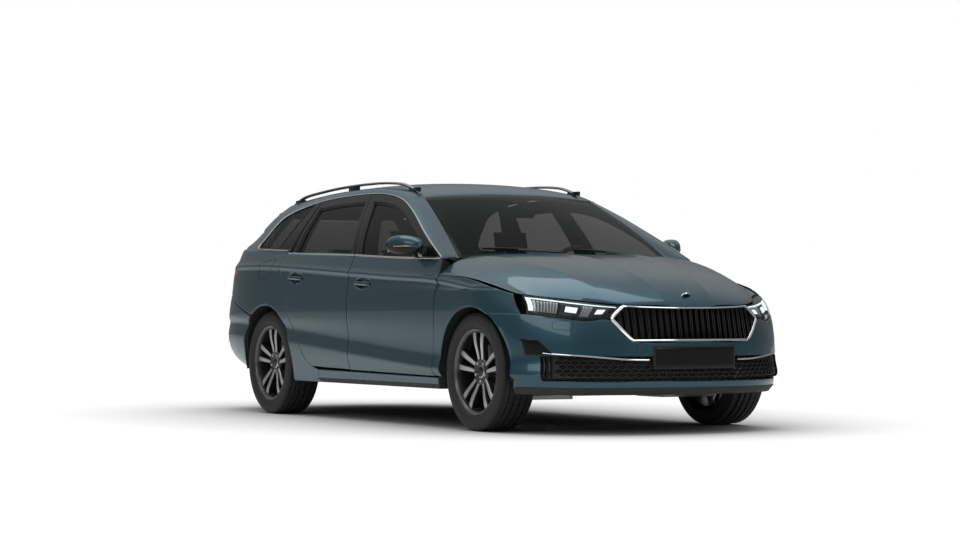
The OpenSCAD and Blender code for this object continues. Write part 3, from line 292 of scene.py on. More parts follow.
# ---------------------------------------------------------------------------------------------
# Mesh making
# ---------------------------------------------------------------------------------------------
@dataclass
class Shape:
    """A raw mesh: points in millimetres, faces, and the material number of each face."""

    points: Array
    faces: list
    mats: list

    def __add__(self, other: "Shape") -> "Shape":
        """Both shapes as one."""
        n = len(self.points)
        return Shape(np.vstack([self.points, other.points]), self.faces + [[i + n for i in f] for f in other.faces],
                     self.mats + other.mats)

    def painted(self, mat: int) -> "Shape":
        """The same shape with one material number."""
        return Shape(self.points, self.faces, [mat] * len(self.faces))

    def moved(self, matrix: Matrix) -> "Shape":
        """The same shape through a 4x4 matrix, in millimetres."""
        m = np.array(matrix)
        return Shape(self.points @ m[:3, :3].T + m[:3, 3], self.faces, self.mats)

    def mirrored(self, side: int) -> "Shape":
        """The shape itself on the left, its mirror image on the right."""
        if side > 0:
            return self
        return Shape(self.points * [1, -1, 1], [f[::-1] for f in self.faces], self.mats)


NOTHING = Shape(np.zeros((0, 3)), [], [])


def shell(outer: Array, inner: Array, keep: Optional[Array] = None, edge: float = 2.5,
          mat: Optional[Callable[[int, int], int]] = None, wall: int = 1) -> Shape:
    """A closed shell between two grids, with rounded edges round every outline and opening.

    Args:
        outer: Grid of points of the seen skin.
        inner: Matching grid of the hidden skin.
        keep: Which cells are there.
        edge: Radius of the rounded edge.
        mat: Material number of an outer cell.
        wall: Material number of the walls and the inner skin.

    Returns:
        The closed shape.
    """
    n, m = outer.shape[:2]
    keep = np.ones((n - 1, m - 1), bool) if keep is None else keep
    a, b, c, d = outer[:-1, :-1], outer[1:, :-1], outer[1:, 1:], outer[:-1, 1:]
    normal = np.cross(c - a, d - b)
    thick = (outer - inner)[:-1, :-1] + (outer - inner)[1:, 1:]
    flip = np.sum((normal * thick)[keep]) < 0
    normal = normal * (-1 if flip else 1)
    normal /= np.maximum(np.linalg.norm(normal, axis=-1, keepdims=True), 1e-9)
    centre = (a + b + c + d) / 4
    vn, cc, cnt = np.zeros((n, m, 3)), np.zeros((n, m, 3)), np.zeros((n, m))
    for di in (0, 1):
        for dj in (0, 1):
            s = np.s_[di:n - 1 + di, dj:m - 1 + dj]
            vn[s] += normal * keep[..., None]
            cc[s] += centre * keep[..., None]
            cnt[s] += keep
    vn /= np.maximum(np.linalg.norm(vn, axis=-1, keepdims=True), 1e-9)
    border = (cnt < 4) & (cnt > 0)
    t = outer - cc / np.maximum(cnt, 1)[..., None]
    t -= vn * np.sum(t * vn, axis=-1, keepdims=True)
    t /= np.maximum(np.linalg.norm(t, axis=-1, keepdims=True), 1e-9)
    top = np.where(border[..., None], outer - t * edge, outer)
    ring_b = outer - (t + vn) * edge * 0.3
    ring_c = outer - vn * edge
    size = n * m
    points = np.concatenate([g.reshape(-1, 3) for g in (top, inner, ring_b, ring_c)])
    faces, mats = [], []
    edges = {}
    for i, j in zip(*np.nonzero(keep)):
        q = [i * m + j, (i + 1) * m + j, (i + 1) * m + j + 1, i * m + j + 1]
        if flip:
            q = q[::-1]
        k = mat(i, j) if mat else 0
        faces.append(q)
        mats.append(k)
        faces.append([p + size for p in q[::-1]])
        mats.append(wall)
        for p, r in zip(q, q[1:] + q[:1]):
            edges[(p, r)] = k
    for (p, r), k in edges.items():
        if (r, p) in edges:
            continue
        for lo, hi, which in ((0, 2, k), (2, 3, k), (3, 1, wall)):
            faces.append([r + lo * size, p + lo * size, p + hi * size, r + hi * size])
            mats.append(which)
    used = np.unique([p for f in faces for p in f])
    new = np.full(len(points), -1)
    new[used] = np.arange(len(used))
    return Shape(points[used], [[int(new[p]) for p in f] for f in faces], mats)


def sweep(path: Array, up: Array, profile: Sequence[Sequence[float]], closed: bool = False,
          scale: Optional[Array] = None) -> Shape:
    """A profile carried along a path.

    Args:
        path: Points of the path.
        up: Direction of the profile's second coordinate, one or one for each point.
        profile: Closed outline: across the path, along up.
        closed: Whether the path closes on itself.
        scale: Size of the profile at each point.

    Returns:
        The closed shape.
    """
    path = np.asarray(path, float)
    n, q = len(path), len(profile)
    up = np.broadcast_to(np.asarray(up, float), path.shape)
    if closed:
        tangent = np.roll(path, -1, axis=0) - np.roll(path, 1, axis=0)
    else:
        tangent = np.gradient(path, axis=0)
    tangent /= np.maximum(np.linalg.norm(tangent, axis=1, keepdims=True), 1e-9)
    across = np.cross(tangent, up)
    across /= np.maximum(np.linalg.norm(across, axis=1, keepdims=True), 1e-9)
    high = np.cross(across, tangent)
    scale = np.ones(n) if scale is None else np.asarray(scale, float)
    prof = np.asarray(profile, float)
    pts = (path[:, None, :] + across[:, None, :] * prof[None, :, :1] * scale[:, None, None]
           + high[:, None, :] * prof[None, :, 1:] * scale[:, None, None])
    faces = []
    for i in range(n if closed else n - 1):
        k = (i + 1) % n
        for j in range(q):
            l = (j + 1) % q
            faces.append([i * q + j, i * q + l, k * q + l, k * q + j])
    if not closed:
        faces += [list(range(q))[::-1], [(n - 1) * q + j for j in range(q)]]
    return Shape(pts.reshape(-1, 3), faces, [0] * len(faces))


def lathe(profile: Sequence[Sequence[float]], n: int = 96, closed: bool = True,
          mats: Optional[Sequence[int]] = None) -> Shape:
    """A profile of radius and place along Y, turned round the Y axis.

    Args:
        profile: Radius and y of each corner.
        n: Steps round the axis.
        closed: Whether the profile joins its own start.
        mats: Material number of each stretch of the profile.

    Returns:
        The turned shape about the origin.
    """
    p = np.asarray(profile, float)
    a = np.arange(n) * 2 * math.pi / n
    pts = np.stack([np.outer(np.cos(a), p[:, 0]), np.tile(p[:, 1], (n, 1)), np.outer(np.sin(a), p[:, 0])], axis=-1)
    q, faces, out = len(p), [], []
    for i in range(n):
        k = (i + 1) % n
        for j in range(q if closed else q - 1):
            l = (j + 1) % q
            faces.append([i * q + j, i * q + l, k * q + l, k * q + j])
            out.append(mats[j] if mats else 0)
    return Shape(pts.reshape(-1, 3), faces, out)


def circle(r: float, n: int = 12, squash: float = 1.0) -> list:
    """Corners of a round or oval outline."""
    return [[r * math.cos(a), r * squash * math.sin(a)] for a in np.arange(n) * 2 * math.pi / n]


def bar(w: float, h: float, r: float) -> list:
    """Corners of a rectangle with cut corners, centred."""
    w, h = w / 2, h / 2
    return [[-w + r, -h], [w - r, -h], [w, -h + r], [w, h - r], [w - r, h], [-w + r, h], [-w, h - r], [-w, -h + r]]


def block(size: Sequence[float], centre: Sequence[float], r: float = 4, turn: Sequence[float] = (0, 0, 0),
          steps: int = 2) -> Shape:
    """A block with rounded edges.

    Args:
        size: Its three sizes.
        centre: Its middle.
        r: Edge radius.
        turn: Rotations about X, Y and Z in degrees.
        steps: Steps in each rounded edge.

    Returns:
        The shape.
    """
    bm = bmesh.new()
    bmesh.ops.create_cube(bm, size=1.0)
    bmesh.ops.scale(bm, vec=Vector(size), verts=bm.verts)
    bmesh.ops.bevel(bm, geom=list(bm.edges), offset=r, segments=steps, profile=0.5, affect="EDGES")
    turned = (Matrix.Rotation(math.radians(turn[2]), 4, "Z") @ Matrix.Rotation(math.radians(turn[1]), 4, "Y")
              @ Matrix.Rotation(math.radians(turn[0]), 4, "X"))
    bmesh.ops.transform(bm, matrix=Matrix.Translation(Vector(centre)) @ turned, verts=bm.verts)
    bm.verts.index_update()
    shape = Shape(np.array([v.co[:] for v in bm.verts]), [[v.index for v in f.verts] for f in bm.faces],
                  [0] * len(bm.faces))
    bm.free()
    return shape


TAIL_REACH, TAIL_PRESS = 45, 0.91
CROWN_REACH, CROWN_PRESS = 8, 0.9
SAME_POINT = 1e-7


def within_box(points: Array) -> Array:
    """Presses the last millimetres at the tail and the roof's crown evenly into the CAD box."""
    tail, crown = CAD_BOX[0][0] / MM, CAD_BOX[1][2] / MM
    out = np.array(points, float)
    near, top = tail + TAIL_REACH, crown - CROWN_REACH
    out[:, 0] = np.where(out[:, 0] < near, near - (near - out[:, 0]) * TAIL_PRESS, out[:, 0])
    out[:, 2] = np.where(out[:, 2] > top, top + (out[:, 2] - top) * CROWN_PRESS, out[:, 2])
    return out


def build(name: str, shape: Shape, finishes: Sequence["Finish"], body: str,
          replaces: Sequence[str] = (), angle: float = 38, merge: float = 0.02) -> bpy.types.Object:
    """Makes an object of a shape, dresses it and lets it ride on a CAD body.

    Args:
        name: Its name.
        shape: Its mesh in millimetres.
        finishes: Finishes by material number.
        body: The CAD body that carries it.
        replaces: CAD nodes that it stands for.
        angle: Edges sharper than this stay sharp.
        merge: Points nearer than this in millimetres become one.

    Returns:
        The finished object.
    """
    mesh = bpy.data.meshes.new(name)
    mesh.from_pydata((within_box(shape.points) * MM).tolist(), [], shape.faces)
    for finish in finishes:
        mesh.materials.append(finish.material())
    mesh.polygons.foreach_set("material_index", shape.mats)
    bm = bmesh.new()
    bm.from_mesh(mesh)
    bmesh.ops.remove_doubles(bm, verts=bm.verts, dist=merge * MM)
    bmesh.ops.dissolve_degenerate(bm, dist=SAME_POINT, edges=bm.edges)
    bmesh.ops.recalc_face_normals(bm, faces=bm.faces)
    bm.to_mesh(mesh)
    bm.free()
    mesh.polygons.foreach_set("use_smooth", [True] * len(mesh.polygons))
    mesh.set_sharp_from_angle(angle=math.radians(angle))
    obj = bpy.data.objects.new(name, mesh)
    bpy.context.scene.collection.objects.link(obj)
    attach(obj, body)
    if replaces:
        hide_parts(*replaces)
    return obj


# ---------------------------------------------------------------------------------------------
# Geometry Nodes for what repeats
# ---------------------------------------------------------------------------------------------
class Repeats:
    """Many copies of one small piece, placed by points that carry their own turn and size."""

    def __init__(self, template: Shape) -> None:
        """Keeps the small piece that is repeated."""
        self.template = template

    def _tree(self, piece: bpy.types.Object, material: bpy.types.Material) -> tuple:
        """Builds the node tree and returns it with the identifier of its Size input."""
        tree = bpy.data.node_groups.new("repeated_pieces", "GeometryNodeTree")
        tree.interface.new_socket("Geometry", in_out="INPUT", socket_type="NodeSocketGeometry")
        size = tree.interface.new_socket("Size", in_out="INPUT", socket_type="NodeSocketFloat")
        tree.interface.new_socket("Geometry", in_out="OUTPUT", socket_type="NodeSocketGeometry")
        node = tree.nodes.new
        start, end = node("NodeGroupInput"), node("NodeGroupOutput")
        info = node("GeometryNodeObjectInfo")
        info.inputs["Object"].default_value = piece
        turn, scale = node("GeometryNodeInputNamedAttribute"), node("GeometryNodeInputNamedAttribute")
        for n, name in ((turn, "turn"), (scale, "stretch")):
            n.data_type = "FLOAT_VECTOR"
            n.inputs["Name"].default_value = name
        euler, times = node("FunctionNodeEulerToRotation"), node("ShaderNodeVectorMath")
        times.operation = "SCALE"
        place, real, dress = (node("GeometryNodeInstanceOnPoints"), node("GeometryNodeRealizeInstances"),
                              node("GeometryNodeSetMaterial"))
        dress.inputs["Material"].default_value = material
        for a, b in ((start.outputs["Geometry"], place.inputs["Points"]),
                     (info.outputs["Geometry"], place.inputs["Instance"]),
                     (turn.outputs[0], euler.inputs[0]), (euler.outputs[0], place.inputs["Rotation"]),
                     (scale.outputs[0], times.inputs[0]), (start.outputs["Size"], times.inputs["Scale"]),
                     (times.outputs[0], place.inputs["Scale"]), (place.outputs[0], real.inputs[0]),
                     (real.outputs[0], dress.inputs["Geometry"]), (dress.outputs[0], end.inputs["Geometry"])):
            tree.links.new(a, b)
        return tree, size.identifier

    def make(self, name: str, points: Array, turns: Array, stretch: Array, finish: "Finish", body: str,
             slot: str, replaces: Sequence[str] = (), angle: float = 35) -> bpy.types.Object:
        """Places the copies and returns them as one plain mesh object.

        Args:
            name: Name of the object.
            points: Where the copies sit, in millimetres.
            turns: Euler angles of each, in radians.
            stretch: Size of each along its own axes.
            finish: Finish of all.
            body: The CAD body that carries them.
            slot: Not used.
            replaces: CAD nodes that they stand for.
            angle: Edges sharper than this stay sharp.

        Returns:
            The finished object.
        """
        points = np.asarray(points, float)
        n, material = len(points), finish.material()
        small = bpy.data.meshes.new(name + "_one")
        small.from_pydata((self.template.points * MM).tolist(), [], self.template.faces)
        one = bpy.data.objects.new(name + "_one", small)
        cloud = bpy.data.meshes.new(name + "_points")
        cloud.from_pydata((points * MM).tolist(), [], [])
        for label, data in (("turn", turns), ("stretch", stretch)):
            values = np.broadcast_to(np.asarray(data, float), (n, 3)).astype(np.float32)
            cloud.attributes.new(label, "FLOAT_VECTOR", "POINT").data.foreach_set("vector", values.ravel())
        holder = bpy.data.objects.new(name + "_holder", cloud)
        for o in (one, holder):
            bpy.context.scene.collection.objects.link(o)
        tree, size = self._tree(one, material)
        mod = holder.modifiers.new("repeat", "NODES")
        mod.node_group = tree
        mod[size] = 1.0
        graph = bpy.context.evaluated_depsgraph_get()
        mesh = bpy.data.meshes.new_from_object(holder.evaluated_get(graph))
        mesh.name = name
        for label in ("turn", "stretch"):
            if label in mesh.attributes:
                mesh.attributes.remove(mesh.attributes[label])
        bpy.data.objects.remove(holder)
        bpy.data.objects.remove(one)
        mesh.materials.clear()
        mesh.materials.append(material)
        mesh.polygons.foreach_set("use_smooth", [True] * len(mesh.polygons))
        mesh.set_sharp_from_angle(angle=math.radians(angle))
        obj = bpy.data.objects.new(name, mesh)
        bpy.context.scene.collection.objects.link(obj)
        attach(obj, body)
        if replaces:
            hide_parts(*replaces)
        return obj


# ---------------------------------------------------------------------------------------------
# Finishes
# ---------------------------------------------------------------------------------------------
class Socket:
    """A shader socket or number that takes part in sums."""

    def __init__(self, shader: "Shader", value: object) -> None:
        """Keeps the socket and the shader that it belongs to."""
        self.shader, self.value = shader, value

    def _sum(self, kind: str, a: object, b: object) -> "Socket":
        """Adds a Math node for a kind of sum."""
        return self.shader.node("ShaderNodeMath", {"operation": kind}, {0: a, 1: b})

    def __add__(self, o: object) -> "Socket":
        """Sum."""
        return self._sum("ADD", self, o)

    __radd__ = __add__

    def __mul__(self, o: object) -> "Socket":
        """Product."""
        return self._sum("MULTIPLY", self, o)

    __rmul__ = __mul__

    def __pow__(self, o: object) -> "Socket":
        """Power."""
        return self._sum("POWER", self, o)

    def most(self, o: object) -> "Socket":
        """The greater of the two."""
        return self._sum("MAXIMUM", self, o)


class Shader:
    """A node tree of a material or a world, with one way of adding nodes."""

    def __init__(self, owner: object) -> None:
        """Empties the owner's tree."""
        owner.use_nodes = True
        self.owner, self.tree = owner, owner.node_tree
        self.tree.nodes.clear()

    def node(self, kind: str, settings: Optional[dict] = None, inputs: Optional[dict] = None,
             out: object = 0) -> Socket:
        """Adds a node.

        Args:
            kind: The node's type.
            settings: Its properties; "stops" are a ramp's places and colours.
            inputs: Values or sockets by input name or number.
            out: The output that is wanted.

        Returns:
            That output.
        """
        n = self.tree.nodes.new(kind)
        for key, value in (settings or {}).items():
            if key == "stops":
                ramp = n.color_ramp
                while len(ramp.elements) < len(value):
                    ramp.elements.new(0.5)
                for e, (place, colour) in zip(ramp.elements, value):
                    e.position, e.color = place, (*colour, 1.0) if len(colour) == 3 else colour
            else:
                setattr(n, key, value)
        for key, value in (inputs or {}).items():
            if isinstance(value, Socket):
                self.tree.links.new(value.value, n.inputs[key])
            else:
                target = n.inputs[key]
                if hasattr(target.default_value, "__len__") and not isinstance(value, str) and len(value) == 3 \
                        and len(target.default_value) == 4:
                    value = (*value, 1.0)
                target.default_value = value
        return Socket(self, n.outputs[out] if n.outputs else None)

    def place(self) -> Socket:
        """Object coordinates, in metres."""
        return self.node("ShaderNodeTexCoord", out="Object")

    def noise(self, scale: float, detail: float = 2, at_: Optional[Socket] = None) -> Socket:
        """Soft noise between 0 and 1."""
        return self.node("ShaderNodeTexNoise", None, {"Vector": at_ or self.place(), "Scale": scale, "Detail": detail})

    def cells(self, scale: float, feature: str = "F1", at_: Optional[Socket] = None) -> Socket:
        """Distance within small cells."""
        return self.node("ShaderNodeTexVoronoi", {"feature": feature},
                         {"Vector": at_ or self.place(), "Scale": scale})

    def blend(self, share: object, a: Sequence[float], b: Sequence[float]) -> Socket:
        """A colour between a and b."""
        return self.node("ShaderNodeMix", {"data_type": "RGBA"}, {0: share, 6: a, 7: b}, out=2)

    def finish(self, surface: Socket) -> None:
        """Joins the surface to the output."""
        kind = "ShaderNodeOutputWorld" if isinstance(self.owner, bpy.types.World) else "ShaderNodeOutputMaterial"
        self.node(kind, None, {"Surface": surface})


class Grain(Enum):
    """Kinds of fine surface."""

    SMOOTH = "smooth"
    FLAKE = "flake"
    MOULDED = "moulded"
    CAST = "cast"
    BRUSHED = "brushed"
    HIDE = "hide"
    WOVEN = "woven"


@dataclass(frozen=True)
class Finish:
    """One surface finish of the car.

    The second colour, the spread of roughness and the grain vary over the surface.
    """

    name: str
    colour: tuple
    second: tuple
    rough: float = 0.4
    rough_spread: float = 0.08
    metal: float = 0.0
    coat: float = 0.0
    grain: Grain = Grain.SMOOTH
    scale: float = 60.0
    depth: float = 0.1
    ior: float = 1.5
    alpha: float = 1.0
    glow: float = 0.0
    dust: float = 0.0

    def material(self) -> bpy.types.Material:
        """Builds the material once and returns it."""
        known = bpy.data.materials.get(self.name)
        if known:
            return known
        mat = bpy.data.materials.new(self.name)
        s = Shader(mat)
        broad = s.noise(6.0, 3)
        if self.grain is Grain.FLAKE:
            fine = s.cells(self.scale)
            share = fine * 0.8 + broad * 0.2
            bump, depth = s.noise(220.0, 1), self.depth
        elif self.grain is Grain.MOULDED:
            fine = s.cells(self.scale)
            share, bump, depth = broad, fine, self.depth
        elif self.grain is Grain.CAST:
            fine = s.noise(self.scale, 6)
            share, bump, depth = fine, fine, self.depth
        elif self.grain is Grain.BRUSHED:
            along = s.node("ShaderNodeMapping", None, {"Vector": s.place(), "Scale": (1.0, 9.0, 9.0)})
            fine = s.noise(self.scale, 3, along)
            share, bump, depth = fine, fine, self.depth
        elif self.grain is Grain.HIDE:
            cracks = s.cells(self.scale, "DISTANCE_TO_EDGE")
            share, bump, depth = broad, cracks + s.noise(self.scale * 2.3, 2) * 0.15, self.depth
        elif self.grain is Grain.WOVEN:
            warp = s.node("ShaderNodeTexWave", {"bands_direction": "X"}, {"Vector": s.place(), "Scale": self.scale})
            weft = s.node("ShaderNodeTexWave", {"bands_direction": "Y"}, {"Vector": s.place(), "Scale": self.scale})
            fine = warp.most(weft)
            share, bump, depth = fine, fine, self.depth
        else:
            share, bump, depth = broad, s.noise(self.scale, 2), self.depth
        colour = s.blend(share, self.colour, self.second)
        if self.dust:
            height = s.node("ShaderNodeSeparateXYZ", None, {0: s.place()}, out="Z")
            low = s.node("ShaderNodeMapRange", {"interpolation_type": "SMOOTHSTEP"},
                         {0: height, 1: 0.55, 2: 0.05, 3: 0.0, 4: self.dust})
            colour = s.node("ShaderNodeMix", {"data_type": "RGBA"},
                            {0: low * s.noise(14.0, 5), 6: colour, 7: (0.16, 0.15, 0.13)}, out=2)
        rough = s.noise(35.0, 4) * self.rough_spread + (self.rough - self.rough_spread / 2)
        normal = s.node("ShaderNodeBump", None, {"Strength": min(1.0, depth * 4), "Distance": 0.0006, "Height": bump})
        inputs = {"Base Color": colour, "Roughness": rough, "Metallic": self.metal, "Coat Weight": self.coat,
                  "Coat Roughness": 0.03, "IOR": self.ior, "Normal": normal, "Alpha": self.alpha}
        if self.glow:
            inputs["Emission Color"] = s.blend(broad, self.colour, self.second)
            inputs["Emission Strength"] = self.glow
        s.finish(s.node("ShaderNodeBsdfPrincipled", None, inputs))
        mat.diffuse_color = (*self.colour, 1.0)
        return mat


PAINT = Finish("teal_metallic_paint", (0.008, 0.042, 0.062), (0.024, 0.092, 0.124), 0.32, 0.04, 0.72, 0.7, Grain.FLAKE,
               1400.0, 0.012, 1.5)
# Near black: real undercoat on the floor pan and in the arches, and painted shade on panel walls in the gaps, on
# pillars behind them, in shut lines and behind the grilles.
UNDERCOAT = Finish("undercoat_and_painted_gap_shade", (0.004, 0.0043, 0.0046), (0.008, 0.0084, 0.0088), 0.7, 0.1, 0, 0, Grain.CAST,
                   300.0, 0.15,
                   dust=0.35)
GLOSS = Finish("gloss_black_trim", (0.003, 0.0033, 0.0036), (0.005, 0.0053, 0.0056), 0.16, 0.04, 0, 0, Grain.SMOOTH,
               160.0,
               0.01, 1.35)
MATT = Finish("grained_black_plastic", (0.004, 0.0042, 0.0045), (0.008, 0.0083, 0.0086), 0.6, 0.1, 0, 0, Grain.MOULDED,
              900.0, 0.22, dust=0.2)
RUBBER = Finish("door_seal_rubber", (0.008, 0.008, 0.008), (0.014, 0.014, 0.014), 0.7, 0.1, 0, 0, Grain.CAST, 500.0,
                0.1)
TYRE = Finish("tyre_rubber", (0.004, 0.004, 0.0045), (0.009, 0.009, 0.009), 0.6, 0.14, 0, 0, Grain.CAST, 420.0, 0.16)
CHROME = Finish("bright_trim", (0.78, 0.79, 0.80), (0.84, 0.85, 0.86), 0.11, 0.05, 1.0, 0, Grain.SMOOTH, 90.0, 0.01)
SATIN = Finish("satin_rail_metal", (0.52, 0.53, 0.54), (0.62, 0.63, 0.64), 0.32, 0.1, 1.0, 0, Grain.BRUSHED, 60.0, 0.05)
MACHINED = Finish("machined_rim_face", (0.42, 0.425, 0.43), (0.56, 0.565, 0.57), 0.34, 0.12, 0.95, 0.3, Grain.BRUSHED,
                  160.0,
                  0.04)
POCKET = Finish("dark_rim_pocket", (0.016, 0.017, 0.018), (0.028, 0.029, 0.03), 0.32, 0.08, 0.5, 0.5, Grain.FLAKE,
                900.0,
                0.03)
SHADE = Finish("graphite_rim_lip", (0.07, 0.072, 0.075), (0.11, 0.112, 0.115), 0.34, 0.08, 0.8, 0.4, Grain.FLAKE, 900.0,
               0.02)
STEEL = Finish("turned_steel", (0.30, 0.30, 0.30), (0.40, 0.39, 0.38), 0.35, 0.15, 1.0, 0, Grain.BRUSHED, 120.0, 0.08)
CAST = Finish("cast_iron_parts", (0.035, 0.035, 0.036), (0.07, 0.066, 0.06), 0.6, 0.15, 0.5, 0, Grain.CAST, 130.0, 0.3,
              dust=0.3)
PIPE = Finish("exhaust_steel", (0.34, 0.33, 0.31), (0.22, 0.2, 0.18), 0.38, 0.2, 0.95, 0, Grain.CAST, 40.0, 0.06)
PANE = Finish("tinted_glass", (0.006, 0.0075, 0.008), (0.008, 0.0095, 0.01), 0.04, 0.01, 0, 0, Grain.SMOOTH, 3.0, 0.0,
              1.28, 0.6)
SCREEN = Finish("windscreen_glass", (0.006, 0.008, 0.008), (0.008, 0.01, 0.01), 0.04, 0.01, 0, 0, Grain.SMOOTH, 3.0,
                0.0, 1.22, 0.45)
LENS = Finish("clear_lamp_cover", (0.03, 0.034, 0.038), (0.04, 0.044, 0.048), 0.04, 0.01, 0, 0, Grain.SMOOTH, 3.0, 0.0,
              1.5, 0.2)
RED = Finish("red_lamp_lens", (0.30, 0.006, 0.008), (0.20, 0.004, 0.006), 0.1, 0.04, 0, 0.9, Grain.MOULDED, 220.0, 0.05,
             1.5, 0.86)
RED_BAR = Finish("red_light_bar", (0.85, 0.03, 0.02), (0.65, 0.02, 0.02), 0.3, 0.05, 0, 0, Grain.SMOOTH, 60.0, 0.02,
                 glow=0.35)
LIGHT = Finish("lit_projector", (0.72, 0.93, 1.0), (0.9, 0.98, 1.0), 0.2, 0.05, 0, 0, Grain.SMOOTH, 60.0, 0.02,
               glow=1.5)
GUIDE = Finish("light_guide", (0.62, 0.7, 0.74), (0.75, 0.8, 0.83), 0.22, 0.08, 0.2, 0.6, Grain.MOULDED, 300.0, 0.05)
AMBER = Finish("amber_reflector", (0.55, 0.16, 0.01), (0.42, 0.1, 0.01), 0.2, 0.05, 0, 0.8, Grain.MOULDED, 250.0, 0.1)
HIDE = Finish("red_brown_leather", (0.16, 0.05, 0.028), (0.105, 0.03, 0.017), 0.46, 0.12, 0, 0, Grain.HIDE, 240.0, 0.2)
CARPET = Finish("floor_carpet", (0.012, 0.012, 0.0125), (0.026, 0.025, 0.025), 0.95, 0.05, 0, 0, Grain.CAST, 700.0, 0.5)
LINING = Finish("roof_lining", (0.12, 0.12, 0.118), (0.16, 0.158, 0.155), 0.95, 0.04, 0, 0, Grain.WOVEN, 500.0, 0.2)
DASH = Finish("soft_dash_skin", (0.014, 0.0145, 0.015), (0.021, 0.0215, 0.022), 0.6, 0.1, 0, 0, Grain.HIDE, 420.0, 0.15)
GLASSY = Finish("display_glass", (0.004, 0.005, 0.007), (0.01, 0.013, 0.018), 0.08, 0.03, 0, 0.7, Grain.SMOOTH, 20.0,
                0.0)


# ---------------------------------------------------------------------------------------------
# Body panels
# ---------------------------------------------------------------------------------------------
def chrome_profile(w: float = 9, h: float = 5) -> list:
    """Half-round outline of a bright strip."""
    return [[-w / 2, -h / 2], [w / 2, -h / 2], [w / 2, 0], [w * 0.32, h * 0.4], [0, h / 2], [-w * 0.32, h * 0.4],
            [-w / 2, 0]]


@dataclass
class SideDoors:
    """The four side doors with frames, glass, trims, handles and mirrors."""

    depth: float = 118.0
    frame_depth: float = 42.0
    frame_width: float = 46.0
    inset: float = 26.0
    glass_in: float = 14.0
    handle_front: tuple = (128.0, 831.0)
    handle_rear: tuple = (-807.0, 873.0)

    def _front(self, cols: Array, rows: Array) -> tuple:
        """Grid of x and z of the front door."""
        u, r = np.meshgrid(cols, rows, indexing="ij")
        k = np.minimum(r, 8)
        end = -47.5
        x = mix(end, by_row(FRONT_DOOR, k, 1), u)
        z = mix(by_row(FRONT_DOOR, k, 2), by_row(FRONT_DOOR, k, 0), u)
        belt = mix(1001.0, 962.0, u)
        xs, xh, xt = mix(end - 6, 1045.0, u), mix(end - 134, 1039.0, u), mix(end - 146, 1035.0, u)
        top, head0 = at(WINDOW_TOP, xt) - GAP, at(WINDOW_TOP, xh) - GAP
        head = np.maximum(mix(belt, head0, 0.5), head0 - self.frame_width)
        return self._upper(x, z, r, mix(end, 1060.0, u), belt, xs, mix(belt, head, 0.08), xh, head, xt, top)

    def _rear(self, cols: Array, rows: Array) -> tuple:
        """Grid of x and z of the rear door."""
        u, r = np.meshgrid(cols, rows, indexing="ij")
        k = np.minimum(r, 8)
        start = -52.5
        x = mix(by_row(REAR_DOOR, k, 1), start, u)
        z = mix(by_row(REAR_DOOR, k, 2), by_row(REAR_DOOR, k, 0), u)
        belt = mix(1028.0, 1001.0, u)
        xs, xh, xt = mix(-926.0, start - 6, u), mix(-851.0, start - 134, u), mix(-838.0, start - 146, u)
        head = at(WINDOW_TOP, xh) - GAP - self.frame_width
        return self._upper(x, z, r, mix(-1000.0, start, u), belt, xs, belt + 14, xh, head, xt, at(WINDOW_TOP, xt) - GAP)

    @staticmethod
    def _upper(x: Array, z: Array, r: Array, xb: Array, zb: Array, xs: Array, zs: Array, xh: Array, zh: Array,
               xt: Array, zt: Array) -> tuple:
        """Adds the rows above the belt: sill of the glass, its head, top of the frame."""
        for a, xa, za, xc, zc in ((8, xb, zb, xs, zs), (9, xs, zs, xh, zh), (10, xh, zh, xt, zt)):
            pick = (r > a) & (r <= a + 1)
            x = np.where(pick, mix(xa, xc, r - a), x)
            z = np.where(pick, mix(za, zc, r - a), z)
        return x, z

    def make(self) -> None:
        """Builds all four doors."""
        for side, word in ((1, "left"), (-1, "right")):
            self._door(side, word, True)
            self._door(side, word, False)
            self._mirror(side, word)

    def _door(self, side: int, word: str, front: bool) -> None:
        """Builds one door on one side."""
        end = "front" if front else "rear"
        body = f"{end}_door_{word}"
        knots = [0, 0.05, 0.82, 1] if front else [0, 0.06, 0.94, 1]
        cols = spread(knots, 0.014)
        rows = spread(list(range(12)), 0.1)
        grid = self._front if front else self._rear
        x, z = grid(cols, rows)
        cx, hx = (500, 560) if front else (-500, 500)
        hx_, hz_ = self.handle_front if front else self.handle_rear
        dip = np.clip(1 - ((x - hx_) / 108) ** 2 - ((z - hz_) / 36) ** 2, 0, 1)
        dip = np.where(z < at(SIDE_LINES, x, 1), 15 * smooth(dip * 1.5), 0)
        outer = skin(side, x, z, dip)
        by = self.inset
        xi, zi = cx + (x - cx) * (1 - by / hx), 700 + (z - 700) * (1 - by / 400)
        r = np.broadcast_to(rows[None, :], x.shape)
        depth = np.where(r <= 7.5, self.depth, np.where(r <= 8.5, self.frame_depth + 20, self.frame_depth))
        depth = np.where(r <= 7, self.depth,
                         np.interp(r, [7, 8, 9], [self.depth, self.frame_depth + 20, self.frame_depth]))
        inner = skin(side, xi, zi, depth)
        cc, rc = (cols[1:] + cols[:-1]) / 2, (rows[1:] + rows[:-1]) / 2
        hole = (cc[:, None] > knots[1]) & (cc[:, None] < knots[2]) & (rc[None, :] > 8) & (rc[None, :] < 10)
        # Material 1, the near-black walls and inner skin, is painted shade that makes the door gaps and edges read
        # dark.
        door = shell(outer, inner, ~hole, 2.6, lambda i, j: 2 if rc[j] > 8.04 else 0)
        build(body, door, [PAINT, UNDERCOAT, GLOSS], body, [body])
        # glass in the depth of the frame
        gc, gr = spread([knots[1], knots[2]], 0.03), spread([8, 9, 10], 0.08)
        gx, gz = grid(gc, gr)
        d = self.glass_in
        ix, iz = cx + (gx - cx) * (1 - by / hx), 700 + (gz - 700) * (1 - by / 400)
        share = d / 50
        gx, gz = mix(gx, ix, share), mix(gz, iz, share)
        pane = shell(skin(side, gx, gz, d), skin(side, gx, gz, d + 5), None, 0.8, wall=0)
        build(f"{body}_glass", pane, [PANE], body, [f"{end}_door_window_{word}"])
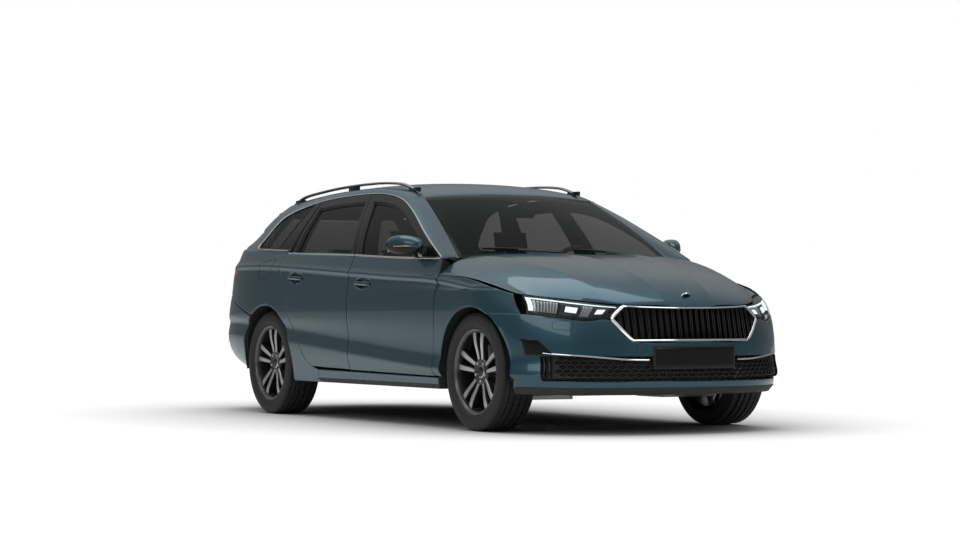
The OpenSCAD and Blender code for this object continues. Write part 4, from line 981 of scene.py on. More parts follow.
        # seal round the glass
        loop = np.concatenate([np.stack([gx[:, 0], gz[:, 0]], 1), np.stack([gx[-1, 1:], gz[-1, 1:]], 1),
                               np.stack([gx[::-1, -1][1:], gz[::-1, -1][1:]], 1),
                               np.stack([gx[0, ::-1][1:-1], gz[0, ::-1][1:-1]], 1)])
        path = skin(side, loop[:, 0], loop[:, 1], d - 3)
        build(f"{body}_glass_seal", sweep(path, [0, side, 0.3], bar(9, 9, 2), True), [RUBBER], body)
        # bright strip along the belt
        a, b = (-44, 1036) if front else (-985, -56)
        xs = np.linspace(a, b, 50)
        zs = at(SIDE_LINES, xs, 1) + (5 if front else 5)
        zs = np.minimum(zs, mix(1001 if front else 1028, 962 if front else 1001, (xs - a) / (b - a)) + 6)
        path = skin(side, xs, zs, -1.5)
        build(f"{body}_belt_strip", sweep(path, [0, side, 0.25], chrome_profile(11, 6)), [CHROME], body)
        self._handle(side, body, hx_, hz_)
        self._trim(side, body, front, cx, hx)

    def _handle(self, side: int, body: str, x: float, z: float) -> None:
        """Builds the pull handle in its recess."""
        xs = np.linspace(x - 104, x + 104, 28)
        lift = 4 + 13 * np.sqrt(np.clip(1 - ((xs - x) / 108) ** 2, 0, 1))
        path = skin(side, xs, np.full_like(xs, z) - (xs - x) * 0.045, -lift * 0.55 + 3)
        size = 0.72 + 0.28 * np.sqrt(np.clip(1 - ((xs - x) / 104.5) ** 2, 0, 1))
        grip = sweep(path, [0, side, 0.1], bar(25, 11, 4), False, size)
        build(f"{body}_handle", grip, [PAINT], body)
        line = skin(side, xs[3:-3], np.full_like(xs[3:-3], z) - (xs[3:-3] - x) * 0.045 - 5, -lift[3:-3] * 0.55 - 2.5)
        build(f"{body}_handle_strip", sweep(line, [0, side, 0.1], chrome_profile(4, 3)), [CHROME], body)

    def _trim(self, side: int, body: str, front: bool, cx: float, hx: float) -> None:
        """Builds the arm rest, grip and speaker of the inner door card."""
        y = (HALF_W - 22 - self.depth) * side
        x0, x1 = (40, 940) if front else (-720, -120)
        mid = (x0 + x1) / 2
        rest = block((x1 - x0 - 180, 52, 62), (mid, y - side * 20, 640), 18, steps=4)
        pull = block((150, 26, 22), (mid + 140, y - side * 40, 700), 9, steps=3)
        build(f"{body}_arm_rest", rest + pull, [HIDE], body)
        ring = lathe([[62, 0], [70, 0], [72, 6], [70, 9], [62, 9]], 48).moved(
            Matrix.Translation((x1 - 110 if front else x0 + 130, y - side * 8, 470)))
        mesh = lathe([[0, 2], [61, 2], [61, 7], [0, 7]], 48, False).moved(
            Matrix.Translation((x1 - 110 if front else x0 + 130, y - side * 8, 470)))
        build(f"{body}_speaker", ring + mesh, [MATT], body)

    def _mirror(self, side: int, word: str) -> None:
        """Builds one door mirror: shell, dark foot, glass and turn lamp."""
        body = f"front_door_{word}"
        n, m = 30, 40
        # y of the section, middle x, middle z, half length, half height
        table = [[0, 862, 766, 1040, 50, 20], [0.05, 866, 764, 1041, 76, 40], [0.25, 892, 750, 1044, 98, 53],
                 [0.55, 932, 722, 1047, 104, 58], [0.8, 968, 690, 1049, 82, 52], [0.93, 990, 662, 1049, 50, 34],
                 [1, 1000, 645, 1048, 18, 12]]
        s, a = np.meshgrid(np.linspace(0, 1, n), np.arange(m) * 2 * math.pi / m, indexing="ij")
        y, cx, cz, hx, hz = (at(table, s, k) for k in range(1, 6))
        c, sn = np.cos(a), np.sin(a)
        x = cx + hx * np.where(c > 0, np.sign(c) * np.abs(c) ** 0.85, -0.72 * np.abs(c) ** 0.45)
        z = cz + hz * np.sign(sn) * np.abs(sn) ** 0.85
        pts = np.stack([x, y * side, z], axis=-1).reshape(-1, 3)
        faces, mats = [], []
        for i in range(n - 1):
            for j in range(m):
                k = (j + 1) % m
                faces.append([i * m + j, i * m + k, (i + 1) * m + k, (i + 1) * m + j])
                low = z[i, j] < cz[i, j] - 12
                mats.append(1 if low else 0)
        faces += [list(range(m)), [(n - 1) * m + j for j in range(m)][::-1]]
        mats += [1, 1]
        build(f"door_mirror_{word}_shell", Shape(pts, faces, mats), [PAINT, GLOSS], body,
              [f"door_mirror_{word}"])
        g = block((4, 88, 74), (0, 0, 0), 1.5).moved(
            Matrix.Translation((642, side * 944, 1047)) @ Matrix.Rotation(math.radians(side * 12), 4, "Z"))
        build(f"door_mirror_{word}_glass", g,
              [Finish("mirror_glass", (0.7, 0.72, 0.73), (0.74, 0.76, 0.77), 0.03, 0.01, 1.0)],
              body)
        foot = [[752, 862, 980], [750, 874, 996], [742, 892, 1008], [730, 912, 1016]]
        arm = sweep(np.array(foot, float) * [1, side, 1], [0.2, 0, 1], circle(21, 14, 0.5), False, [1.25, 1.05, 1, 1.1])
        build(f"door_mirror_{word}_foot", arm, [GLOSS], body)
        ys = np.linspace(928, 990, 14)
        lamp = np.stack([824 - (ys - 928) * 0.9 - ((ys - 928) / 62) ** 3 * 55, side * ys, np.full_like(ys, 1040)], 1)
        build(f"door_mirror_{word}_turn_lamp", sweep(lamp, [0, 0, 1], bar(7, 6, 2)), [AMBER], body)


@dataclass
class BodySides:
    """Both side frames: cant rails, pillars, rear quarters, sills, and the trims on them."""

    sheet: float = 22.0

    def make(self) -> None:
        """Builds both sides."""
        for side, word in ((1, "left"), (-1, "right")):
            self._upper(side, word)
            self._quarter(side, word)
            self._sill(side, word)
            self._pillars(side, word)
            self._wing(side, word)

    @staticmethod
    def _columns(tau: Array) -> Array:
        """Points of the upper side, five in each column, from windscreen foot to rear corner."""
        k = np.minimum(tau, 19)
        table = np.array(UPPER, float)
        r = [np.interp(k, np.arange(20), table[:, c]) for c in range(5)]
        bz = at(SIDE_LINES, r[0], 1) + 6
        sz = bz + 14 + 8 * np.clip(1 - np.abs(k - 13), 0, 1)
        wz = np.where(k <= 16, at(WINDOW_TOP, r[2]),
                      np.where(k <= 17, at(WINDOW_TOP, np.maximum(r[2], -1500)) - 8 * (k - 16),
                               np.interp(k, [17, 18, 19], [1110, 1170, 1195])))
        b = np.stack([r[0], side_y(r[0], bz) - 1, bz], -1)
        s = np.stack([r[1], side_y(r[1], sz) - 1, sz], -1)
        w = np.stack([r[2], side_y(r[2], wz), wz], -1)
        x = r[4]
        xp = np.where(x < -1600, -1600 + (x + 1600) * 460 / 310, x)
        u = (1006 - x) / 654
        roof = np.stack([x, at(ROOF, xp, 2) + 5, at(ROOF, xp, 3)], -1)
        glass = np.stack([x, mix(722, 586, u) + 0.6, mix(972, 1338, u) + 72 * u * (1 - u)], -1)
        e = np.where((x > 335)[:, None], glass, roof)
        cols = np.stack([b, s, w, (w + e) / 2 + [0, 7, 7], e], axis=1)
        zs = np.array([1066, 1120, 1200, 1290, 1328.0])
        ty = at(TAILGATE_EDGE, zs)
        last = np.stack([rear_face_x(ty, zs) + 6, ty + 7, zs], -1)
        t = np.clip(tau - 19, 0, 1)[:, None, None]
        bulge = 4 * t * (1 - t) * np.array([6.0, 14.0, 16.0, 10.0, 2.0])[None, :, None] * np.array([0, 1.0, 0])
        return mix(cols, last[None], t) + bulge

    def _upper(self, side: int, word: str) -> None:
        """Cant rail, windscreen pillar and rear quarter above the belt, with the quarter glass."""
        tau = np.unique(np.concatenate([spread(list(range(20)), 0.2), spread([19, 20], 0.09)]))
        c = self._columns(tau)
        rows = spread([0, 1, 2, 4], 0.125)
        grid = []
        for r in rows:
            if r <= 1:
                grid.append(mix(c[:, 0], c[:, 1], r))
            elif r <= 2:
                p = mix(c[:, 1], c[:, 2], r - 1)
                y = side_y(p[:, 0], p[:, 2])
                free = np.clip(20 - tau, 0, 1)
                p[:, 1] = mix(p[:, 1], y, np.where(tau > 19, free, 1) * np.clip((tau - 12.9) * 9, 0, 1))
                grid.append(p)
            else:
                t = ((r - 2) / 2)
                w, m, e = c[:, 2], c[:, 3], c[:, 4]
                grid.append(w * (1 - t) * (1 - 2 * t) + m * 4 * t * (1 - t) + e * t * (2 * t - 1))
        outer = np.stack(grid, axis=1)
        depth = np.interp(rows, [0, 1, 2, 3, 4], [30, 30, 44, 34, 1])
        drop = np.interp(rows, [0, 2, 3, 4], [0, 0, 20, 30])
        inner = outer - np.stack([np.broadcast_to(-50.0 * np.clip(tau - 19, 0, 1)[:, None], outer.shape[:2]),
                                  np.broadcast_to(depth[None], outer.shape[:2]),
                                  np.broadcast_to(drop[None], outer.shape[:2])], axis=-1)
        tc, rc = (tau[1:] + tau[:-1]) / 2, (rows[1:] + rows[:-1]) / 2
        keep = np.where(tc[:, None] < 13, rc[None] > 2,
                        ~((tc[:, None] > 14) & (tc[:, None] < 17) & (rc[None] > 1) & (rc[None] < 2)))
        keep = keep & ~((tc[:, None] < 13) & (rc[None] < 2))
        flip = np.array([1, side, 1])
        dark = lambda i, j: 2 if 13 < tc[i] < 14.0 and rc[j] < 2 and rc[j] > 0.9 else 0
        # The near-black walls (material 1) are painted shade in the door and window gaps.
        build(f"body_side_upper_{word}", shell(outer * flip, inner * flip, keep, 2.5, dark),
              [PAINT, UNDERCOAT, GLOSS], "body_shell", [f"side_frame_{word}"])
        # quarter glass
        pick = (tau >= 14) & (tau <= 17)
        cut = outer[pick][:, (rows >= 1) & (rows <= 2)]
        pane = shell((cut - [0, 5, 0]) * flip, (cut - [0, 10, 0]) * flip, None, 0.8, wall=0)
        build(f"quarter_glass_{word}", pane, [PANE], "body_shell",
              ["quarter_windows"] if side > 0 else ())
        edge = np.concatenate([cut[:, 0], cut[-1, 1:], cut[::-1, -1][1:], cut[0, ::-1][1:-1]])
        build(f"quarter_glass_frame_{word}", sweep((edge - [0, 1, 0]) * flip, [0, side, 0.35], bar(16, 6, 2), True),
              [GLOSS], "body_shell")
        # bright arc over the windows, with its return along the quarter glass
        t = np.unique(np.concatenate([np.linspace(0.05, 16.9, 130), [17.0]]))
        top = self._columns(t)[:, 2] + [0, 1.5, 1.5]
        tip = np.array([[-1496, 0, 1098], [-1500, 0, 1086], [-1492, 0, 1076], [-1474, 0, 1071.5]])
        tip[:, 1] = side_y(tip[:, 0], tip[:, 2]) + 1.5
        xs = np.linspace(-1452, -1002, 34)
        zb = at(SIDE_LINES, xs, 1) + 18
        back = np.stack([xs, side_y(xs, zb) + 1.5, zb], -1)
        path = np.concatenate([top, tip, back]) * flip
        build(f"window_arc_strip_{word}", sweep(path, [0, side, 0.35], chrome_profile(9, 6)), [CHROME],
              "body_shell")

    def _quarter(self, side: int, word: str) -> None:
        """Rear quarter below the belt, round the wheel arch."""
        rho = spread(list(range(9)), 0.12)
        px, pz = by_row(REAR_DOOR, rho, 1), by_row(REAR_DOOR, rho, 2)
        d = np.hypot(AXLE_R - px, HUB_Z - pz)
        lift = smooth(rho - 7)
        qx, qz = px + (AXLE_R - px) * GAP / d + 4 * lift, pz + (HUB_Z - pz) * GAP / d + 14 * lift
        ang = np.interp(rho, np.arange(9), QUARTER_DOOR)
        rows = [[-16.5, -500, 224], [-12, -500, 268], [-9, -500, 302]] + np.stack([ang, qx, qz], 1).tolist()
        for a, b in zip([[87, qx[-1], qz[-1]]] + QUARTER_HIGH[:-1], QUARTER_HIGH):
            n = max(1, int(math.hypot(a[1] - b[1], a[2] - b[2]) / 14))
            rows += [[mix(p, q, (i + 1) / n) for p, q in zip(a, b)] for i in range(n)]
        q = np.array(rows)
        a = np.radians(q[:, 0])
        arch = np.stack([AXLE_R + ARCH_R * np.cos(a), HUB_Z + ARCH_R * np.sin(a)], 1)
        out = q[:, 1:]
        back = np.where((q[:, 1] < -1960)[:, None],
                        np.stack([np.full(len(q), -1925.0), np.where(q[:, 2] > 1000, 1004.0, 972.0)], 1),
                        mix(arch, out, 0.78))
        s = spread([0, 0.78, 1], 0.02)
        low = s[None, :, None] / 0.78
        high = (s[None, :, None] - 0.78) / 0.22
        g = np.where(s[None, :, None] <= 0.78, mix(arch[:, None], back[:, None], low),
                     mix(back[:, None], out[:, None], high))
        x, z = g[..., 0], g[..., 1]
        lip = 5 * np.exp(-((s - 0.0) / 0.02) ** 2)[None]
        outer = skin(side, x, z, -lip * 0)
        inner = skin(side, x, z, self.sheet)
        # The near-black walls are painted shade in the gaps round the quarter.
        build(f"rear_quarter_{word}", shell(outer, inner, None, 2.5), [PAINT, UNDERCOAT],
              "body_shell")
        # rolled edge of the wheel arch
        arc = np.radians(np.linspace(-14, 122, 90))
        ax, az = AXLE_R + (ARCH_R - 2) * np.cos(arc), HUB_Z + (ARCH_R - 2) * np.sin(arc)
        build(f"rear_arch_edge_{word}", sweep(skin(side, ax, az, 8), [0, side, 0], bar(9, 16, 3)), [PAINT],
              "body_shell")
        if side < 0:
            self._flap()

    def _flap(self) -> None:
        """The fuel flap on the right rear quarter: its shut line."""
        corners = np.array([[-1379, 877], [-1209, 876], [-1110, 1003], [-1323, 977]], float)
        loop = []
        for i in range(4):
            p, a, b = corners[i], corners[i - 1], corners[(i + 1) % 4]
            d1, d2 = (a - p) / np.linalg.norm(a - p) * 34, (b - p) / np.linalg.norm(b - p) * 34
            for t in np.linspace(0, 1, 8):
                loop.append((p + d1) * (1 - t) ** 2 + 2 * p * t * (1 - t) + (p + d2) * t * t)
        loop = np.array(loop)
        dense = []
        for i in range(len(loop)):
            a, b = loop[i], loop[(i + 1) % len(loop)]
            n = max(1, int(np.linalg.norm(b - a) / 12))
            dense += [mix(a, b, k / n) for k in range(n)]
        dense = np.array(dense)
        path = skin(-1, dense[:, 0], dense[:, 1], -0.1)
        # The shut line is a thin dark strip laid on the skin: painted shade where the flap's gap is.
        build("fuel_flap_shut_line", sweep(path, [0, -1, 0], bar(3.2, 1.2, 0.3), True), [UNDERCOAT],
              "body_shell")

    def _sill(self, side: int, word: str) -> None:
        """Sill under the doors, with its dark lower edge."""
        xs = spread([1040, -530], 16)
        knots = [222, 245, 270]
        u = (1040 - xs) / 1570
        grid = np.stack([np.full_like(xs, k) for k in knots] + [mix(288, 303, u)], axis=1)
        rows = spread([0, 1, 2, 3], 0.25)
        z = np.stack([np.array([np.interp(r, range(4), g) for g in grid]) for r in rows], axis=1)
        x = np.broadcast_to(xs[:, None], z.shape)
        outer = skin(side, x, z, 1.5)
        inner = np.stack([x, np.full_like(x, side * 725.0), z], axis=-1)
        # The near-black walls are painted shade in the gap under the doors.
        build(f"sill_{word}", shell(outer, inner, None, 3, lambda i, j: 2 if rows[j] < 1.2 else 0),
              [PAINT, UNDERCOAT, MATT], "body_shell")

    def _pillars(self, side: int, word: str) -> None:
        """Centre pillar and hinge pillar, near black as painted shade behind the door gaps, and the rubber seal that
        backs the front door gap.
        """
        t = np.linspace(0, 1, 40)
        z = mix(253, 1392, t)
        xc = np.interp(z, [253, 960, 1010, 1392], [0, 0, -15, -182])
        wid = np.interp(z, [253, 960, 1392], [120, 105, 33])
        cols = np.array([-1, -0.5, 0.5, 1])
        x = xc[None] + cols[:, None] * wid[None]
        zz = np.broadcast_to(z[None], x.shape)
        # The pillar is near black all over: painted shade behind the gap between the doors.
        build(f"centre_pillar_{word}", shell(skin(side, x, zz, 47), skin(side, x, zz, 88), None, 3, lambda i, j: 0, 0),
              [UNDERCOAT], "body_shell")
        # Near black: painted shade behind the front door's gap.
        post = block((58, 122, 684), (979, side * 701, 594.5), 6)
        build(f"hinge_pillar_{word}", post, [UNDERCOAT], "body_shell")
        strip = np.linspace(0, 1, 40)
        for label, xa, za in (("front_gap_seal", np.full(40, 1064.0), mix(310, 880, strip)),):
            path = skin(side, xa, za, 40)
            build(f"{label}_{word}", sweep(path, [0, side, 0], bar(9, 24, 3)), [RUBBER], "body_shell")

    def _wing(self, side: int, word: str) -> None:
        """Front wing with its rolled arch edge; its near-black walls are painted shade in the shut gaps."""
        tau = spread(list(range(10)), 0.11)
        t = np.array(WING, float)
        ang, ox, oz = (np.interp(tau, np.arange(10), t[:, c]) for c in range(3))
        door = np.array(FRONT_DOOR, float)
        ox = np.where(tau <= 3, np.interp(oz, door[:, 2], door[:, 1]) + 7, ox)
        seam = np.array([at([[r[2], r[4]] for r in BONNET], v) for v in ox])
        oz = np.where((tau >= 3) & (tau <= 8), seam - 5.5, oz)
        a = np.radians(ang)
        arch = np.stack([AXLE_F + ARCH_F * np.cos(a), HUB_Z + ARCH_F * np.sin(a)], 1)
        s = spread([0, 1], 0.024)[None, :, None]
        g = mix(arch[:, None], np.stack([ox, oz], 1)[:, None], s)
        outer, inner = skin(side, g[..., 0], g[..., 1]), skin(side, g[..., 0], g[..., 1], self.sheet)
        inner[:, -4:] = skin(side, g[:, -4:, 0], g[:, -4:, 1], 8)
        # Near-black walls: painted shade in the gaps to the door and bonnet.
        build(f"front_wing_{word}", shell(outer, inner, None, 2.5), [PAINT, UNDERCOAT],
              "body_shell", [f"front_wing_{word}"])
        arc = np.radians(np.linspace(61.5, 184, 90))
        ax, az = AXLE_F + (ARCH_F - 2) * np.cos(arc), HUB_Z + (ARCH_F - 2) * np.sin(arc)
        build(f"front_arch_edge_{word}", sweep(skin(side, ax, az, 8), [0, side, 0], bar(9, 16, 3)), [PAINT],
              "body_shell")


@dataclass
class TopPanels:
    """Roof, rails, windscreen, bonnet and cowl."""

    bonnet_thick: float = 26.0
    roof_thick: float = 30.0

    def make(self) -> None:
        """Builds the panels seen from above."""
        self._bonnet()
        self._roof()
        self._rails()
        self._windscreen()
        self._cowl()

    @staticmethod
    def _crease(u: Array, y: Array) -> Array:
        """Height of the four raised lines that run along the bonnet."""
        out = np.zeros_like(y)
        for a, b, h, w in ((262, 152, 6.0, 46), (668, 470, 5.0, 60)):
            d = np.sqrt((np.abs(y) - mix(a, b, u)) ** 2 + 9 ** 2) - 9
            out += h * np.exp(-d / w) * np.where(np.abs(y) > mix(a, b, u), 1.0, np.exp(-d / w))
        return out * smooth(u * 8) * smooth((1 - u) * 10)

    def _bonnet(self) -> None:
        """Bonnet skin with its raised lines, and its round plain badge."""
        us, vs = spread([0, 1], 0.024), spread([-1, 1], 0.014)
        v, u = np.meshgrid(vs, us, indexing="ij")
        outer = bonnet_pt(u, v)
        outer[..., 2] += self._crease(u, outer[..., 1])
        drop = self.bonnet_thick * (1 - 0.7 * np.maximum(u ** 6, np.abs(v) ** 8))
        inner = outer - np.stack([20 * u ** 4, 25 * v * v ** 6, drop], -1)
        # The near-black walls and underside are painted shade in the bonnet's shut lines.
        build("bonnet_skin", shell(outer, inner, None, 3), [PAINT, UNDERCOAT], "bonnet",
              ["bonnet"], 30)
        lean = Matrix.Translation((2234, 0, 741)) @ Matrix.Rotation(math.radians(-52), 4, "Y") @ Matrix.Rotation(
            math.radians(-90), 4, "X")
        disc = lathe([[0, 4], [27, 4], [27, 0], [0, 0]], 48, False)
        ring = lathe([[27, 0], [34, 0], [35, 3], [33, 5.5], [28, 5.5], [27, 4]], 64)
        build("nose_disc", disc.moved(lean).painted(1) + ring.moved(lean), [CHROME, GLOSS], "bonnet")

    def _roof(self) -> None:
        """Roof skin and its lining."""
        xs, vs = spread([-2060, -1600, 200, 335], 42), spread([-1, 1], 0.05)
        x, v = np.meshgrid(xs, vs, indexing="ij")
        w = at(ROOF, x, 2)
        sweep_ = 150 * np.clip((-1600 - x) / 460, 0, 1) * v * v
        e = np.where(x > 300, 55 * (1 - v * v) * np.clip((x - 200) / 135, 0, 1), sweep_)
        e = np.where(x > 200, 55 * (1 - v * v) * smooth((x - 200) / 135), sweep_)
        z = roof_z(np.where(x > 200, x + e, x), v * w)
        outer = np.stack([x + e, v * w, z], -1)
        inner = outer - [0, 0, self.roof_thick]
        build("roof_skin", shell(outer, inner, None, 2.5), [PAINT, LINING], "body_shell",
              ["roof_panel"])

    def _rails(self) -> None:
        """Roof rails: satin bars that stand clear of the roof on their feet."""
        for side, word in ((1, "left"), (-1, "right")):
            xs = np.linspace(262, -1600, 70)
            t = (262 - xs) / 1862
            y = at(ROOF, xs, 2) - 20
            rise = 30 * np.sqrt(np.clip(np.minimum(smooth(t / 0.16), smooth((1 - t) / 0.14)), 0, 1))
            z = roof_z(xs, y) + 2 + rise
            z = np.minimum(z, 1463)
            path = np.stack([xs, side * y, z], -1)
            size = 0.7 + 0.3 * smooth(np.minimum(t, 1 - t) / 0.1)
            rail = sweep(path, [0, 0.0, 1], [[-13, -3], [-11, -5], [11, -5], [13, -3], [11, 3], [6, 4.6], [-6, 4.6],
                                             [-11, 3]], False, size)
            build(f"roof_rail_{word}", rail, [SATIN], "body_shell",
                  ["roof_rails"] if side > 0 else (), 40)
            under = np.stack([xs, side * y, z - 8], -1)
            build(f"roof_rail_base_{word}", sweep(under, [0, 0, 1], bar(17, 7, 2), False, size), [GLOSS],
                  "body_shell")
            feet = NOTHING
            for xf, h in ((180, 26), (-640, 30), (-1490, 22)):
                yy = float(at(ROOF, xf, 2)) - 20
                f = block((130, 20, h), (xf, side * yy, float(roof_z(xf, yy)) + h / 2 - 4), 5, steps=2)
                feet = feet + f
            build(f"roof_rail_feet_{word}", feet, [GLOSS], "body_shell")

    @staticmethod
    def _screen(u: Array, v: Array, d: float) -> Array:
        """Point of the windscreen, d millimetres in."""
        b = 1 - v * v
        low = np.stack([1006 + 66 * b, v * 722, 972 + 8 * b], -1)
        high = np.stack([352 + 58 * b, v * 586, 1338 + 26 * b], -1)
        h = (u * (1 - u))[..., None]
        return mix(low, high, u[..., None]) + h * [32, 0, 72] - np.array([0.5, 0, 0.87]) * d

    def _windscreen(self) -> None:
        """Windscreen, its dark border and the mirror inside."""
        vs, us = spread([-1, -0.955, 0.955, 1], 0.05), spread([0, 0.05, 0.955, 1], 0.05)
        v, u = np.meshgrid(vs, us, indexing="ij")
        pane = shell(self._screen(u, v, 0), self._screen(u, v, 5), None, 0.8, wall=0)
        build("windscreen_pane", pane, [SCREEN], "body_shell", ["windscreen"])
        vc, uc = (vs[1:] + vs[:-1]) / 2, (us[1:] + us[:-1]) / 2
        rim = (np.abs(vc)[:, None] > 0.955) | (uc[None] < 0.05) | (uc[None] > 0.955)
        rim |= (np.abs(vc)[:, None] < 0.12) & (uc[None] > 0.86)
        build("windscreen_border", shell(self._screen(u, v, 5.3), self._screen(u, v, 7.3), rim, 0.4, wall=0),
              [GLOSS], "body_shell")
        glass = block((12, 230, 64), (452, 0, 1262), 8, (0, 12, 0), 3)
        stem = block((46, 30, 40), (478, 0, 1290), 8, (0, 30, 0), 2)
        build("inner_mirror", glass + stem, [MATT], "body_shell")

    def _cowl(self) -> None:
        """Cowl grille and both wipers."""
        v, s = np.meshgrid(spread([-1, 1], 0.05), spread([0, 1], 0.2), indexing="ij")
        b = 1 - v * v
        lo = np.stack([1046 + 30 * b, v * 634, 902 + 40 * b], -1)
        hi = np.stack([1003 + 62 * b, v * 634, 962 + 8 * b], -1)
        outer = mix(lo, hi, s[..., None])
        inner = outer - np.stack([20 + 15 * b, 0 * b, 26 + 0 * b], -1)
        build("cowl_grille", shell(outer, inner, None, 2, wall=0), [MATT], "body_shell",
              ["cowl_panel"])
        for word, y0, y1, rise, foot in (("left", 520, 40, 0.07, 0.004), ("right", -60, -560, 0.06, 0.034)):
            t = np.linspace(0, 1, 24)
            yy = mix(y0, y1, t)
            vv = yy / 722
            u = foot + 0.008 + rise * np.sin(t * math.pi * 0.5)
            blade = self._screen(u, vv, -9)
            arm = self._screen(foot + (rise - 0.01) * t[:14], vv[:14], -16)
            wiper = sweep(blade, [0.5, 0, 0.87], bar(9, 13, 2)) + sweep(arm, [0.5, 0, 0.87], bar(16, 8, 2))
            build(f"wiper_{word}", wiper, [MATT], "body_shell")


# ---------------------------------------------------------------------------------------------
# Front and rear ends
# ---------------------------------------------------------------------------------------------
FRONT_Y = [0, 150, 290, 385, 440, 484, 540, 600]
FRONT_S = [0, 0.2, 0.4, 0.58, 0.8, 1]


def front_t(k: Array, z: Array) -> Array:
    """Plan angle at column k of the front end: half widths up to 600, then shares of the way to the arch."""
    a = np.abs(k)
    y = np.interp(a, range(8), FRONT_Y)
    y0 = front_angle(np.full_like(y, 600.0), z)
    share = np.interp(a - 7, range(6), FRONT_S)
    return np.sign(k) * np.where(a <= 7, front_angle(y, z), mix(y0, front_end(z), share))


@dataclass
class FrontEnd:
    """Front bumper, grilles, lamps, plate and bright strips."""

    skin_thick: float = 24.0
    slats: int = 24

    def make(self) -> None:
        """Builds the front end."""
        self._bumper()
        self._lower_grille()
        self._grille()
        for side, word in ((1, "left"), (-1, "right")):
            self._lamp(side, word)
            self._bumper_trims(side, word)
        self._plate()

    def _bumper(self) -> None:
        """Bumper skin with its wide lower opening."""
        ks = spread(list(range(-12, 13)), 0.25)
        rows = spread([0, 1, 2, 3, 4, 6], 0.125)
        z0 = [215, 250, 290, 425, 440]
        k, r = np.meshgrid(ks, rows, indexing="ij")
        yt = np.interp(np.abs(k), range(8), FRONT_Y)
        edge = np.abs(front_pt(front_t(k, np.full_like(k, 640.0)), np.full_like(k, 640.0), 0)[..., 1])
        top = at(FRONT_TOP, np.where(np.abs(k) <= 7, yt, edge))
        z = np.where(r <= 4, np.interp(r, range(5), z0), mix(440, top, (r - 4) / 2))
        outer, inner = front_pt(front_t(k, z), z, 0), front_pt(front_t(k, z), z, self.skin_thick)
        kc, rc = (ks[1:] + ks[:-1]) / 2, (rows[1:] + rows[:-1]) / 2
        keep = ~((np.abs(kc)[:, None] < 10) & (rc[None] > 2) & (rc[None] < 3))
        # The near-black walls are painted shade in the gaps and the lower opening.
        build("front_bumper_skin", shell(outer, inner, keep, 3, lambda i, j: 2 if rc[j] < 1 else 0),
              [PAINT, UNDERCOAT, MATT], "body_shell", ["front_bumper"], 30)
        lip = front_pt(front_t(ks * 0.985, np.full_like(ks, 252.0)), np.full_like(ks, 252.0), 2)
        build("front_lip", sweep(lip, [0, 0, 1], bar(12, 12, 4)), [MATT], "body_shell")

    def _lower_grille(self) -> None:
        """Dark backing of painted shade behind the opening, with its net of lozenges, and the upright fins at the
        corners.
        """
        ks, zs = spread([-10, 10], 0.3), spread([291, 424], 24)
        k, z = np.meshgrid(ks, zs, indexing="ij")
        t = front_t(k, z)
        outer, inner = front_pt(t * 0.995, z, 17), front_pt(t * 0.995, z, 23)
        # The near-black backing sheet is painted shade behind the lower grille's net.
        build("lower_grille_backing", shell(outer, inner, None, 1, wall=0), [UNDERCOAT], "body_shell",
              ["lower_grille"])
        fine = np.linspace(-9.1, 9.1, 1500)
        mid = front_pt(front_t(fine, np.full_like(fine, 357.0)), np.full_like(fine, 357.0), 12)
        run = np.concatenate([[0], np.cumsum(np.linalg.norm(np.diff(mid, axis=0), axis=1))])
        run -= run[-1] / 2
        pitch, rise, places, turns, sizes = 46.0, 22.0, [], [], []
        n = int(run[-1] / pitch * 2)
        for row in range(6):
            for i in range(-n, n + 1):
                s = (i + 0.5 * (row % 2)) * pitch
                if abs(s) > run[-1] - 8:
                    continue
                zc = 302 + row * rise
                kk = float(np.interp(s, run, fine))
                p = front_pt(front_t(np.array([kk]), np.array([zc])), np.array([zc]), 10)[0]
                q = front_pt(front_t(np.array([kk + 0.03]), np.array([zc])), np.array([zc]), 10)[0]
                places.append(p)
                turns.append((0, 0, math.atan2(q[1] - p[1], q[0] - p[0]) - math.pi / 2))
                sizes.append((1, 1, 1))
        ring = []
        for w, h, x in ((21.5, 10.2, 0), (17.5, 7.2, 3), (16.8, 6.6, -7), (21.5, 10.2, -7)):
            ring.append([[x, -w, 0], [x, 0, h], [x, w, 0], [x, 0, -h]])
        pts = np.array(ring, float).reshape(-1, 3)
        faces = [[a * 4 + j, a * 4 + (j + 1) % 4, ((a + 1) % 4) * 4 + (j + 1) % 4, ((a + 1) % 4) * 4 + j]
                 for a in range(4) for j in range(4)]
        Repeats(Shape(pts, faces, [0] * 16)).make("lower_grille_net", np.array(places), np.array(turns),
                                                  np.array(sizes),
                                                  GLOSS, "body_shell", "trim_black")
        for side, word in ((1, "left"), (-1, "right")):
            fins = NOTHING
            for kf in (9.35, 9.72):
                zz = np.linspace(304, 420, 12)
                path = front_pt(front_t(np.full_like(zz, side * kf), zz), zz, 8)
                f = sweep(path, [1, side, 0], bar(8, 22, 2))
                fins = fins + f
            build(f"corner_fins_{word}", fins, [GLOSS], "body_shell")

    def _grille(self) -> None:
        """Radiator grille: dark back of painted shade, double upright slats and the bright surround."""
        rows = [[506, 376], [560, 424], [624, 472], [658, 442], [686, 400]]
        v, r = np.meshgrid(spread([-1, 1], 0.04), spread([0, 1, 2, 3, 4], 0.25), indexing="ij")
        half, z = np.interp(r, range(5), [a[1] for a in rows]), np.interp(r, range(5), [a[0] for a in rows])
        z = z - np.clip((z - 640) / 46, 0, 1) * 10 * (1 - v * v)
        y = v * half

        def at_depth(d: float) -> Array:
            """The grille's face, d millimetres in."""
            return np.stack([front_face_x(y, z) - d, y, z], -1)
